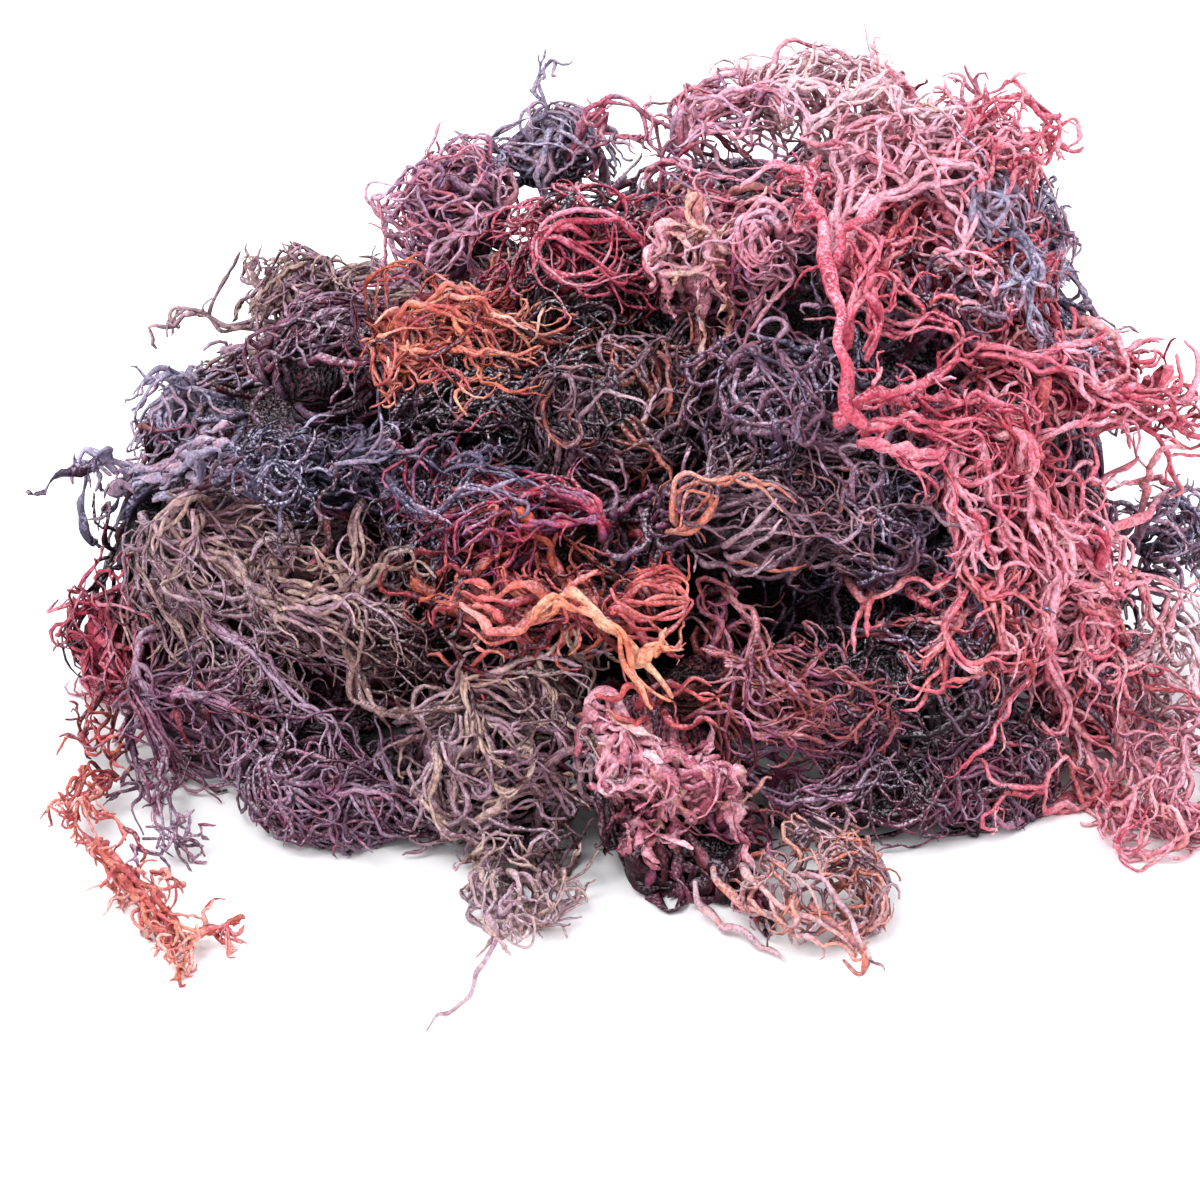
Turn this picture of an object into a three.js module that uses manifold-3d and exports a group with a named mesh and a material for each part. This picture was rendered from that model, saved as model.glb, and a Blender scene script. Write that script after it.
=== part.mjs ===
// A heap of dried Irish moss, a red seaweed sold as loose, matted plants.
// Each plant is a tuft of forked, curled branches. The tufts lock together where they dried against each other,
// so the heap holds its shape. It is resting on a flat surface.
// Here each tuft is one closed, lumpy body of the tuft's true outer size, cut away where a neighbour lies on it,
// and the branches that stand clear of the heap are round stems joined at their forks.
// Millimetres, +Z up, seen from -Y in front. The origin is on the resting surface, under the middle of the heap.

import * as THREE from "three";
import { mergeVertices } from "three/addons/utils/BufferGeometryUtils.js";
import Module from "manifold-3d";

const wasm = await Module();
wasm.setup();

// Driving dimensions
const CONTACT_GAP = 0.3; // between tufts that touch
const FLOOR_DEPTH = 60; // of the block that trims the underside flat
const FLOOR_WIDTH = 600;
const LUMP_DETAIL = 2; // subdivision of a tuft's outer surface
const LUMP_RELIEF = 0.13; // height of a tuft's bumps, as a share of its size
const BUMPS_ACROSS = 3.3; // bumps round a tuft, as a frequency over its unit sphere
const STEM_SIDES = 6;
const STEM_STEP = 6; // length of stem between rings

// Dried colours, as [colour, roughness]
const CORAL = [0xc9484f, 0.7];
const ROSE = [0xb56a78, 0.75];
const BLUSH = [0xdca9a4, 0.7];
const RASPBERRY = [0x8a2740, 0.7];
const ORANGE = [0xc85f3a, 0.7];
const PLUM = [0x4a2b3b, 0.8];
const MAROON = [0x4e1d2a, 0.75];
const SLATE = [0x2f2f3e, 0.8];
const OLIVE = [0x6b5a4b, 0.8];
const BROWN = [0x6e4440, 0.8];

// A closed geometry as a solid that can be cut and joined.
function solidOf(geometry) {
  const bare = geometry.clone();
  bare.deleteAttribute("normal");
  bare.deleteAttribute("uv");
  const merged = mergeVertices(bare, 1e-4);
  return new wasm.Manifold(
    new wasm.Mesh({
      numProp: 3,
      vertProperties: new Float32Array(merged.attributes.position.array),
      triVerts: new Uint32Array(merged.index.array),
    }),
  );
}

// How far a tuft's surface stands in or out, from -1 to 1, in a direction of its unit sphere.
function bump(d, seed) {
  const f = BUMPS_ACROSS;
  return (
    (Math.sin(f * d.x + 1.7 * seed) +
      Math.sin(f * d.y + 2.3 * seed + 1.1 * d.z) +
      Math.sin(f * d.z + 0.9 * seed + 1.6 * d.x)) /
    3
  );
}

// A tuft's outer form: a ball stretched to its half sizes, bumped, leant about the line of sight and set in place.
// lean is how many degrees its right end rises, turn how many degrees it swings back.
function lump({ at, half, lean = 0, turn = 0 }, seed, grow) {
  const geometry = new THREE.IcosahedronGeometry(1, LUMP_DETAIL);
  const points = geometry.attributes.position;
  const d = new THREE.Vector3();
  for (let i = 0; i < points.count; i++) {
    d.fromBufferAttribute(points, i);
    const out = 1 + LUMP_RELIEF * bump(d, seed);
    points.setXYZ(
      i,
      d.x * (half[0] * out + grow),
      d.y * (half[1] * out + grow),
      d.z * (half[2] * out + grow),
    );
  }
  geometry.rotateY(THREE.MathUtils.degToRad(-lean));
  geometry.rotateZ(THREE.MathUtils.degToRad(turn));
  geometry.translate(...at);
  return solidOf(geometry);
}

// One round stem along a smooth curve through its points.
function stem({ radius, path }, grow) {
  const curve = new THREE.CatmullRomCurve3(
    path.map((p) => new THREE.Vector3(...p)),
  );
  const section = new THREE.Shape();
  for (let k = 0; k < STEM_SIDES; k++) {
    const a = (2 * Math.PI * k) / STEM_SIDES;
    const r = radius + grow;
    if (k === 0) section.moveTo(r * Math.cos(a), r * Math.sin(a));
    else section.lineTo(r * Math.cos(a), r * Math.sin(a));
  }
  const steps = Math.max(3, Math.round(curve.getLength() / STEM_STEP));
  return solidOf(
    new THREE.ExtrudeGeometry(section, { steps, extrudePath: curve }),
  );
}

// The whole outer form of a plant, grown all over by a gap when it is used to cut its neighbours.
function outerForm(plant, seed, grow = 0) {
  const parts = (plant.stems || []).map((s) => stem(s, grow));
  if (plant.half) parts.unshift(lump(plant, seed, grow));
  return parts.reduce((whole, part) => whole.add(part));
}

// The crown of the heap, high on the right: pale pink and coral plants with a thick main stem
const crown = [
  {
    name: "coral_main_stem",
    finish: CORAL,
    stems: [
      { radius: 2.6, path: [[44, -26, 134], [50, -52, 130], [51, -69, 124], [54, -88, 114], [57, -99, 105]] },
      { radius: 1.6, path: [[51, -60, 128], [60, -58, 130], [68, -52, 136]] },
      { radius: 1.6, path: [[54, -88, 114], [64, -84, 113], [76, -82, 106]] },
    ],
  },
  {
    name: "crown_loop_frond",
    finish: CORAL,
    stems: [
      { radius: 2.0, path: [[80, -24, 131], [85, -22, 150], [93, -20, 154], [103, -20, 150], [109, -20, 145]] },
      { radius: 1.6, path: [[103, -20, 150], [107, -21, 142], [103, -22, 135], [98, -25, 126]] },
      { radius: 1.5, path: [[84, -22, 146], [92, -22, 142], [97, -24, 133], [95, -26, 124]] },
    ],
  },
  {
    name: "coral_side_branch",
    finish: CORAL,
    at: [98, -50, 99],
    half: [25, 14, 9],
    lean: -12,
    stems: [
      { radius: 1.8, path: [[100, -56, 104], [115, -52, 98], [128, -48, 91], [139, -46, 85]] },
      { radius: 1.4, path: [[115, -52, 98], [122, -50, 103], [125, -50, 108]] },
      { radius: 1.4, path: [[114, -52, 96], [124, -52, 88], [128, -53, 80]] },
    ],
  },
  { name: "crown_blush_tangle", finish: BLUSH, at: [48, -4, 142], half: [20, 15, 13], lean: -8 },
  { name: "mauve_arch_tuft", finish: ROSE, at: [22, 2, 132], half: [16, 15, 11], lean: 14 },
  { name: "mauve_rosette", finish: ROSE, at: [32, -44, 124], half: [12, 11, 12] },
  { name: "cream_tuft", finish: BLUSH, at: [19, -38, 122], half: [9, 12, 16], lean: 12 },
  { name: "pink_upper_web", finish: ROSE, at: [70, -30, 134], half: [22, 15, 16], lean: 20 },
  { name: "coral_lower_web", finish: CORAL, at: [76, -46, 119], half: [22, 15, 13] },
  { name: "charcoal_crown_tuft", finish: SLATE, at: [93, -30, 114], half: [12, 17, 22], lean: -14 },
];

// The right side: a coral plant that sweeps down to the surface, with paler webs round its foot
const rightSide = [
  {
    name: "coral_sweep_foot",
    finish: CORAL,
    at: [109, -62, 27],
    half: [15, 14, 19],
    lean: -30,
    stems: [
      { radius: 2.2, path: [[110, -72, 16], [114, -82, 6], [116, -94, 2.6], [117, -115, 2.6]] },
      { radius: 1.4, path: [[117, -113, 2.4], [120, -118, 2.2], [127, -117, 2]] },
      { radius: 1.2, path: [[116, -92, 2.6], [121, -98, 2], [123, -106, 1.8]] },
    ],
  },
  { name: "coral_sweep_top", finish: CORAL, at: [76, -74, 91], half: [22, 12, 10], lean: -12 },
  { name: "coral_sweep_middle", finish: CORAL, at: [97, -66, 63], half: [18, 14, 22], lean: 25 },
  { name: "coral_net", finish: CORAL, at: [84, -84, 47], half: [16, 12, 14], lean: 20 },
  {
    name: "charcoal_right_tuft",
    finish: SLATE,
    at: [131, -36, 38],
    half: [13, 15, 11],
    stems: [
      { radius: 1.2, path: [[137, -44, 40], [142, -46, 46], [145, -44, 42], [142, -42, 37]] },
      { radius: 1.2, path: [[126, -46, 46], [133, -48, 58], [140, -47, 64]] },
    ],
  },
  { name: "peach_web", finish: BLUSH, at: [133, -40, 14], half: [17, 18, 15] },
  { name: "raspberry_curls", finish: RASPBERRY, at: [136, -82, 9], half: [12, 28, 11], turn: 8 },
];

// The upper left: a dusky ridge with a bright orange tuft and wiry curls against the sky
const upperLeft = [
  {
    name: "slate_knot",
    finish: SLATE,
    at: [-16, 16, 120],
    half: [14, 14, 11],
    stems: [
      { radius: 1.3, path: [[-20, 14, 124], [-23, 15, 130], [-18, 15, 136], [-20, 15, 143], [-18, 15, 149]] },
    ],
  },
  {
    name: "arched_strand",
    finish: ROSE,
    stems: [
      { radius: 1.5, path: [[-13, 10, 127], [-12, 10, 133], [-5, 10, 138], [2, 8, 131], [4, 5, 121], [6, 0, 110]] },
      { radius: 1.2, path: [[-5, 10, 138], [-6, 9, 128], [-7, 8, 118]] },
      { radius: 1.2, path: [[-6, 9, 127], [1, 8, 129], [3, 7, 126]] },
    ],
  },
  {
    name: "rose_brown_tuft",
    finish: ROSE,
    at: [-37, -3, 115],
    half: [18, 15, 14],
    lean: 24,
    stems: [
      { radius: 1.2, path: [[-50, -6, 110], [-58, -8, 116], [-61, -8, 122], [-56, -8, 126]] },
      { radius: 1.2, path: [[-48, -8, 103], [-58, -10, 100], [-64, -10, 104]] },
    ],
  },
  { name: "magenta_swirl", finish: RASPBERRY, at: [-6, -26, 115], half: [20, 13, 11], lean: -8 },
  { name: "orange_tuft", finish: ORANGE, at: [-42, -44, 101], half: [22, 13, 10], lean: -14 },
  { name: "brown_saddle", finish: BROWN, at: [-14, -40, 107], half: [16, 14, 11] },
  {
    name: "olive_horn",
    finish: OLIVE,
    at: [-78, 4, 88],
    half: [14, 14, 10],
    lean: 18,
    stems: [
      { radius: 1.4, path: [[-88, 0, 84], [-97, 0, 82], [-104, 0, 87], [-110, -1, 88], [-114, -2, 83]] },
      { radius: 1.2, path: [[-86, 2, 90], [-93, 3, 95], [-91, 4, 100]] },
    ],
  },
  { name: "plum_shoulder", finish: PLUM, at: [-72, -28, 85], half: [20, 16, 15], lean: 12 },
  {
    name: "slate_horn",
    finish: SLATE,
    at: [-103, -8, 62],
    half: [14, 15, 9],
    lean: 10,
    stems: [{ radius: 1.3, path: [[-106, -10, 68], [-110, -10, 74], [-117, -11, 74], [-120, -12, 69]] }],
  },
  {
    name: "lavender_ridge",
    finish: SLATE,
    at: [-110, -19, 53],
    half: [17, 14, 8],
    lean: 14,
    stems: [{ radius: 1.8, path: [[-118, -22, 52], [-127, -24, 56], [-136, -25, 59]] }],
  },
  { name: "plum_side_tuft", finish: PLUM, at: [-117, -24, 34], half: [15, 17, 14] },
  { name: "raspberry_side_tuft", finish: RASPBERRY, at: [-122, -38, 17], half: [13, 16, 16] },
];

// The middle of the front: dark wads with orange, red and grey-green plants lying over them
const middle = [
  {
    name: "orange_fan",
    finish: ORANGE,
    at: [-13, -102, 62],
    half: [30, 12, 9],
    stems: [
      { radius: 2.4, path: [[-12, -113, 66], [-1, -116, 63], [5, -119, 54], [8, -119, 44]] },
      { radius: 2.0, path: [[6, -119, 53], [11, -121, 59]] },
    ],
  },
  { name: "slate_ridge_tuft", finish: SLATE, at: [-57, -70, 76], half: [36, 13, 9], lean: -3 },
  { name: "plum_hill", finish: PLUM, at: [-36, -62, 90], half: [21, 14, 11] },
  { name: "brown_swirl", finish: BROWN, at: [0, -66, 93], half: [19, 14, 16] },
  { name: "slate_swirl", finish: SLATE, at: [37, -72, 98], half: [19, 14, 18] },
  { name: "raspberry_fan", finish: RASPBERRY, at: [-20, -88, 74], half: [24, 12, 9], lean: 4 },
  { name: "orange_arcs", finish: BROWN, at: [27, -91, 76], half: [21, 13, 13], lean: -6 },
  { name: "slate_curl", finish: SLATE, at: [62, -85, 74], half: [20, 14, 16], lean: -18 },
  { name: "grey_fleece", finish: OLIVE, at: [-92, -56, 46], half: [29, 18, 22], lean: -10 },
  { name: "olive_lock", finish: OLIVE, at: [-60, -86, 53], half: [24, 14, 13], lean: -22 },
  { name: "red_wad", finish: MAROON, at: [27, -106, 41], half: [22, 14, 15] },
  { name: "plum_right_wad", finish: PLUM, at: [63, -96, 35], half: [26, 15, 17] },
];

// The front foot of the heap, where tufts spill out over the surface
const foot = [
  {
    name: "trailing_frond",
    finish: ORANGE,
    stems: [
      { radius: 2.0, path: [[-124, -44, 9], [-130, -54, 4], [-132, -68, 2.4], [-130, -88, 2.4], [-129, -106, 2.4], [-122, -120, 2.4]] },
      { radius: 2.4, path: [[-127, -113, 2.8], [-120, -122, 2.8], [-111, -131, 2.8], [-102, -142, 2.8], [-93, -148, 2.6], [-86, -151, 2.2]] },
      { radius: 1.3, path: [[-108, -134, 3], [-106, -146, 2], [-101, -157, 1.8]] },
      { radius: 1.3, path: [[-116, -127, 3], [-104, -128, 2.4], [-97, -137, 2.2], [-96, -146, 2.2]] },
      { radius: 1.2, path: [[-131, -86, 2.6], [-136, -96, 2], [-135, -106, 1.8]] },
      { radius: 1.2, path: [[-99, -143, 2.6], [-95, -153, 1.8], [-91, -158, 1.8]] },
    ],
  },
  {
    name: "grey_looped_frond",
    finish: PLUM,
    stems: [
      { radius: 1.5, path: [[-113, -52, 7], [-107, -66, 3], [-105, -84, 2.2], [-107, -104, 2.2], [-108, -115, 2.2]] },
      { radius: 1.4, path: [[-108, -60, 5], [-117, -66, 3], [-121, -80, 2.2], [-116, -93, 2.2], [-107, -100, 2.2]] },
      { radius: 1.2, path: [[-120, -84, 2.2], [-112, -86, 2.2], [-105, -88, 2.2]] },
    ],
  },
  {
    name: "olive_droop",
    finish: OLIVE,
    at: [-22, -133, 7],
    half: [12, 16, 8],
    stems: [{ radius: 1.1, path: [[-25, -144, 3], [-30, -156, 1.8], [-36, -170, 1.6], [-42, -185, 1.6]] }],
  },
  { name: "maroon_lobe", finish: MAROON, at: [18, -120, 9], half: [19, 20, 12] },
  {
    name: "coral_tipped_spill",
    finish: BROWN,
    at: [44, -134, 7],
    half: [15, 22, 10],
    turn: 24,
    stems: [
      { radius: 2.0, path: [[46, -146, 6], [52, -155, 4], [57, -163, 3]] },
      { radius: 1.4, path: [[36, -146, 5], [37, -153, 3], [40, -157, 2]] },
    ],
  },
  { name: "blush_tuft", finish: BLUSH, at: [9, -117, 29], half: [16, 13, 19], lean: 24 },
  { name: "olive_net", finish: OLIVE, at: [-32, -110, 25], half: [21, 14, 23] },
  { name: "mauve_low_wad", finish: PLUM, at: [-99, -68, 16], half: [24, 19, 17] },
  { name: "plum_low_left", finish: PLUM, at: [-70, -96, 10], half: [28, 17, 13], turn: -20 },
  { name: "plum_low_right", finish: PLUM, at: [72, -98, 9], half: [32, 17, 13], turn: 22 },
];

// The far side, out of sight in the photograph, carried round in the same colours
const farSide = [
  { name: "back_top_tuft", finish: PLUM, at: [26, 38, 88], half: [34, 24, 20] },
  { name: "back_rose_tuft", finish: ROSE, at: [66, 30, 98], half: [28, 24, 24] },
  { name: "back_left_tuft", finish: OLIVE, at: [-60, 46, 50], half: [32, 26, 24], turn: 24 },
  { name: "back_right_tuft", finish: SLATE, at: [96, 26, 62], half: [24, 28, 26], turn: -30 },
  { name: "back_low_left_tuft", finish: PLUM, at: [-92, 40, 26], half: [30, 30, 26], turn: 40 },
  { name: "back_low_middle_tuft", finish: BROWN, at: [-28, 80, 34], half: [38, 28, 34], turn: 12 },
  { name: "back_low_right_tuft", finish: MAROON, at: [62, 74, 34], half: [40, 28, 34], turn: -34 },
];

// The oldest, darkest plants, which the others lie on and which show in the hollows and along the foot
const bed = [
  { name: "bed_right_tuft", finish: PLUM, at: [44, -8, 46], half: [74, 84, 78] },
  { name: "bed_left_tuft", finish: MAROON, at: [-56, -10, 30], half: [72, 80, 56] },
];

const plants = [...crown, ...rightSide, ...upperLeft, ...middle, ...foot, ...farSide, ...bed];

// The space under the resting surface
const below = solidOf(
  new THREE.BoxGeometry(FLOOR_WIDTH, FLOOR_WIDTH, FLOOR_DEPTH).translate(
    0,
    0,
    -FLOOR_DEPTH / 2,
  ),
);

// Each plant gives way to those listed before it and to the surface, and keeps its largest piece.
function settle(list) {
  const grown = [];
  return list.map((plant, seed) => {
    const cutters = [...grown, below];
    grown.push(outerForm(plant, seed, CONTACT_GAP));
    const cut = cutters.reduce((left, c) => left.subtract(c), outerForm(plant, seed));
    const pieces = cut.decompose();
    return pieces.reduce((a, b) => (a.volume() > b.volume() ? a : b));
  });
}

// A solid's surface as a geometry for drawing and export.
function geometryOf(solid) {
  const mesh = solid.getMesh();
  return new THREE.BufferGeometry()
    .setAttribute("position", new THREE.BufferAttribute(mesh.vertProperties, 3))
    .setIndex(new THREE.BufferAttribute(mesh.triVerts, 1));
}

const heap = new THREE.Group();
const solids = settle(plants);
plants.forEach((plant, i) => {
  const [color, roughness] = plant.finish;
  const geometry = geometryOf(solids[i]);
  geometry.computeVertexNormals();
  const mesh = new THREE.Mesh(
    geometry,
    new THREE.MeshStandardMaterial({ color, roughness, metalness: 0 }),
  );
  mesh.name = plant.name;
  heap.add(mesh);
});

export default heap;
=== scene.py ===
"""The looks of a heap of dried Irish moss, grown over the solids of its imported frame.

Every tuft of the heap is a plant: stems that fork into branches, and branches that fork into curled twigs,
all of them tubes that creep over the outside of the heap. Growth is worked out in millimetres and stored in
metres.
"""

import math

import bpy
import numpy as np
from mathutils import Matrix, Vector
from mathutils.bvhtree import BVHTree


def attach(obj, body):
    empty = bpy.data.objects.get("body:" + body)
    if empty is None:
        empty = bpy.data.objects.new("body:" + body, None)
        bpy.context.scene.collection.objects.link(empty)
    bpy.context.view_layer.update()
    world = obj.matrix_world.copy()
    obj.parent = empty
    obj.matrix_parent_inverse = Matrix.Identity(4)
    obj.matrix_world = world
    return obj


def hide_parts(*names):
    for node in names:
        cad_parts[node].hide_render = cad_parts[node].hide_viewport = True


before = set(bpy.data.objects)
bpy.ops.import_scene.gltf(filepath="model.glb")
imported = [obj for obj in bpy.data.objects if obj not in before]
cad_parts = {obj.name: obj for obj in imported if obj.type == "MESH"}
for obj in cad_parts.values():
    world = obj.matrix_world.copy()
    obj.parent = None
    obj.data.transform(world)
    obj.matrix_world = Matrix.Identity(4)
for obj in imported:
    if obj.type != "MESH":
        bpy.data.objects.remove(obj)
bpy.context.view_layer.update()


# The view, the floor and the light.
# The heap lies on a plain pale floor, seen from in front and 30 degrees above, in the soft bright light of a
# product photograph: a broad lamp over the left shoulder, a weaker one from the right and a pale room.

VIEW_TARGET = Vector((-0.0047, 0, 0.0036))
VIEW_DISTANCE = 1.15
VIEW_ELEVATION = math.radians(30)
PIXEL = 0.00026  # metres of the heap to one pixel
PHOTO_WIDTH = 1200

camera_data = bpy.data.cameras.new("view")
camera_data.lens = camera_data.sensor_width * VIEW_DISTANCE / (PIXEL * PHOTO_WIDTH)
camera_data.clip_end = 20
camera = bpy.data.objects.new("view", camera_data)
bpy.context.scene.collection.objects.link(camera)
toward_camera = Vector((0, -math.cos(VIEW_ELEVATION), math.sin(VIEW_ELEVATION)))
camera.location = VIEW_TARGET + VIEW_DISTANCE * toward_camera
camera.rotation_euler = (math.pi / 2 - VIEW_ELEVATION, 0, 0)
bpy.context.scene.camera = camera

FLOOR_RADIUS = 9
FLOOR_SIDES = 64

angle = np.linspace(0, 2 * np.pi, FLOOR_SIDES, endpoint=False)
rim = FLOOR_RADIUS * np.stack([np.cos(angle), np.sin(angle), 0 * angle], axis=1)
floor_mesh = bpy.data.meshes.new("floor")
floor_mesh.from_pydata(rim.tolist(), [], [list(range(FLOOR_SIDES))])
floor = bpy.data.objects.new("floor", floor_mesh)
bpy.context.scene.collection.objects.link(floor)
floor_paint = bpy.data.materials.new("floor_paint")
floor_paint.use_nodes = True
floor_shader = floor_paint.node_tree.nodes["Principled BSDF"]
floor_shader.inputs["Base Color"].default_value = (0.93, 0.93, 0.945, 1)
floor_shader.inputs["Roughness"].default_value = 0.9
floor_mesh.materials.append(floor_paint)


def lamp(name, place, width, power):
    """A square lamp of that width and power, at place, facing the heap."""
    data = bpy.data.lights.new(name, "AREA")
    data.size = width
    data.energy = power
    light = bpy.data.objects.new(name, data)
    bpy.context.scene.collection.objects.link(light)
    light.location = place
    light.rotation_euler = (VIEW_TARGET - light.location).to_track_quat("-Z", "Y").to_euler()


lamp("key_lamp", Vector((-0.7, -0.9, 1.5)), 0.8, 25)
lamp("side_lamp", Vector((1.3, -0.4, 0.9)), 0.8, 12)
lamp("back_lamp", Vector((-0.3, 1.3, 1.1)), 0.9, 12)

room = bpy.data.worlds.new("room")
bpy.context.scene.world = room
room.use_nodes = True
room.node_tree.nodes["Background"].inputs["Color"].default_value = (0.97, 0.975, 1.0, 1)
room.node_tree.nodes["Background"].inputs["Strength"].default_value = 1.12
bpy.context.scene.view_settings.view_transform = "Standard"


# The bed: the two oldest, darkest plants, which the whole heap lies on.
# They are matted wads of plum and maroon branches, dried hard against each other. What shows of them is the
# hollows between the upper tufts and the foot of the heap.

MM = 0.001
SAMPLE_AREA = 8  # of a solid's surface to each point taken from it, in square millimetres
CLEAR = 60  # a point with nothing this near in front of it is on the outside of the heap
LOOKS = 6  # directions in which a point looks for the open air
LOOK_SPREAD = 0.9  # how far they lean from the surface's normal
OPEN_ENOUGH = 0.17  # the least share of them that makes it a part of the outside
BALL_REACH = 1.4  # how far out a ball's own points lie, in its radii: those further out are on a stem
BALL_PASSES = 3  # times that it is measured
LOWEST = 1  # points nearer than this to the floor can't be seen
SKIN_CELL = 4  # width of a cell of the grid that holds the heap's skin
SKIN_BLUR = 5.5  # how far off a point still tells of the skin
SKIN_REACH = 3  # cells from a point to the last one that it tells of itself
SKIN_MARGIN = 6  # cells round the heap

right = np.array([1.0, 0, 0])
screen_up = np.array([0, math.sin(VIEW_ELEVATION), math.cos(VIEW_ELEVATION)])
toward_eye = np.cross(right, screen_up)


def unit(v):
    """Vectors along the last axis, each divided by its own length."""
    return v / np.maximum(np.linalg.norm(v, axis=-1, keepdims=True), 1e-9)


def corners_of(node):
    """The corner points of a solid's triangles, as an array of triangle, corner and coordinate."""
    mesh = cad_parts[node].data
    mesh.calc_loop_triangles()
    points = np.empty(len(mesh.vertices) * 3)
    mesh.vertices.foreach_get("co", points)
    index = np.empty(len(mesh.loop_triangles) * 3, int)
    mesh.loop_triangles.foreach_get("vertices", index)
    return points.reshape(-1, 3)[index].reshape(-1, 3, 3) / MM


def scatter(triangles, rng):
    """Points spread evenly over triangles, with their normals: each lies at a + s (b - a) + t (c - a), with
    s and t drawn from 0 to 1 and folded back where their sum passes 1."""
    a, b, c = triangles[:, 0], triangles[:, 1], triangles[:, 2]
    normal = np.cross(b - a, c - a)
    area = np.linalg.norm(normal, axis=1) / 2
    pick = rng.choice(len(area), int(area.sum() / SAMPLE_AREA), p=area / area.sum())
    s, t = rng.random((2, len(pick), 1))
    fold = s + t > 1
    s, t = np.where(fold, 1 - s, s), np.where(fold, 1 - t, t)
    return a[pick] + s * (b - a)[pick] + t * (c - a)[pick], unit(normal[pick])


def ball_of(points):
    """The ball that a tuft's points lie round, as its centre and the matrix that turns it into a unit ball.
    Its spread is theirs, measured again without the points of its stems, which lie further out."""
    kept = points
    for _ in range(BALL_PASSES):
        centre = kept.mean(axis=0)
        shrink = np.linalg.inv(np.linalg.cholesky(np.cov((kept - centre).T))) / math.sqrt(3)
        reach = np.linalg.norm((points - centre) @ shrink.T, axis=1)
        kept = points[reach < BALL_REACH]
    return centre, shrink


solids = {node: corners_of(node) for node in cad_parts}
every_corner = np.concatenate(list(solids.values())).reshape(-1, 3)
heap = BVHTree.FromPolygons(every_corner.tolist(), np.arange(len(every_corner)).reshape(-1, 3).tolist())

outside = {}
balls = {}
look_rng = np.random.default_rng(3)
for node, triangles in solids.items():
    points, normals = scatter(triangles, np.random.default_rng(5))
    balls[node] = ball_of(points)
    near = np.linalg.norm((points - balls[node][0]) @ balls[node][1].T, axis=1) < BALL_REACH
    keep = near & (points[:, 2] > LOWEST)
    points, normals = points[keep], normals[keep]
    looks = unit(normals + LOOK_SPREAD * unit(look_rng.normal(size=(LOOKS, len(points), 3))))
    open_share = np.array([
        [heap.ray_cast(Vector(p), Vector(way), CLEAR)[0] is None for p, way in zip(points + normals, ways)]
        for ways in looks
    ]).mean(axis=0)
    shown = open_share > OPEN_ENOUGH
    outside[node] = (points[shown], normals[shown], open_share[shown])


def blurred_skin(points, normals):
    """The heap's outside as one smooth skin, on a grid of cells. A cell's height over the skin is the mean
    of its heights over the planes of the points round it, weighted by a bell curve of their distance, and
    its normal is the mean of theirs. Cells that no point reaches lie outside."""
    low = points.min(axis=0) - SKIN_MARGIN * SKIN_CELL
    size = np.ceil((points.max(axis=0) + SKIN_MARGIN * SKIN_CELL - low) / SKIN_CELL).astype(int)
    step = np.arange(-SKIN_REACH, SKIN_REACH + 1)
    offset = np.stack(np.meshgrid(step, step, step, indexing="ij"), axis=-1).reshape(-1, 1, 3)
    cell = np.round((points - low) / SKIN_CELL).astype(int) + offset
    away = low + cell * SKIN_CELL - points
    weight = np.exp(-0.5 * (away**2).sum(axis=2) / SKIN_BLUR**2) + 1e-6
    height = (away * normals).sum(axis=2)
    flat = np.ravel_multi_index(tuple(np.moveaxis(cell, 2, 0)), size).ravel()
    total = np.prod(size)
    sums = [np.bincount(flat, (weight * v).ravel(), total) for v in (1, height, *normals.T)]
    filled = sums[0] > 0
    grid = np.zeros((total, 4))
    grid[:, 0] = SKIN_REACH * SKIN_CELL
    grid[filled, 0] = sums[1][filled] / sums[0][filled]
    grid[filled, 1:] = unit(np.stack(sums[2:], axis=1)[filled])
    return low, grid.reshape(*size, 4)


outer = [(points, normals) for points, normals, _ in outside.values()]
skin_low, skin_grid = blurred_skin(*(np.concatenate(part) for part in zip(*outer)))


def skin(points):
    """Height over the skin and the skin's normal at each point, blended from the eight cells round it."""
    place = np.clip((points - skin_low) / SKIN_CELL, 0, np.array(skin_grid.shape[:3]) - 1.001)
    base = place.astype(int)
    share = place - base
    found = 0
    for corner in np.ndindex(2, 2, 2):
        weight = np.prod(np.where(corner, share, 1 - share), axis=-1)
        x, y, z = np.moveaxis(base + corner, -1, 0)
        found = found + weight[..., None] * skin_grid[x, y, z]
    return found[..., 0], unit(found[..., 1:])


RIPPLE_WAVES = 8
ripple_rng = np.random.default_rng(11)
ripple_ways = unit(ripple_rng.normal(size=(RIPPLE_WAVES, 3))).T
ripple_phases = 2 * np.pi * ripple_rng.random(RIPPLE_WAVES)


def ripple(points, length):
    """A smooth random field, about -1 to 1: a sum of sine waves about that long in fixed directions."""
    spread = np.linspace(0.7, 1.5, RIPPLE_WAVES)
    return np.sin(2 * np.pi / length * spread * (points @ ripple_ways) + ripple_phases).sum(axis=-1) / 2.4


SHARED = 0.8  # how much of its bends a strand shares with its lock
OWN = 0.6  # and how much it has for itself
RISE_OVER = 6  # how far from its height a strand begins to level off
STEEPEST = 0.7  # the most that it rises or falls in its own stride


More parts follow.
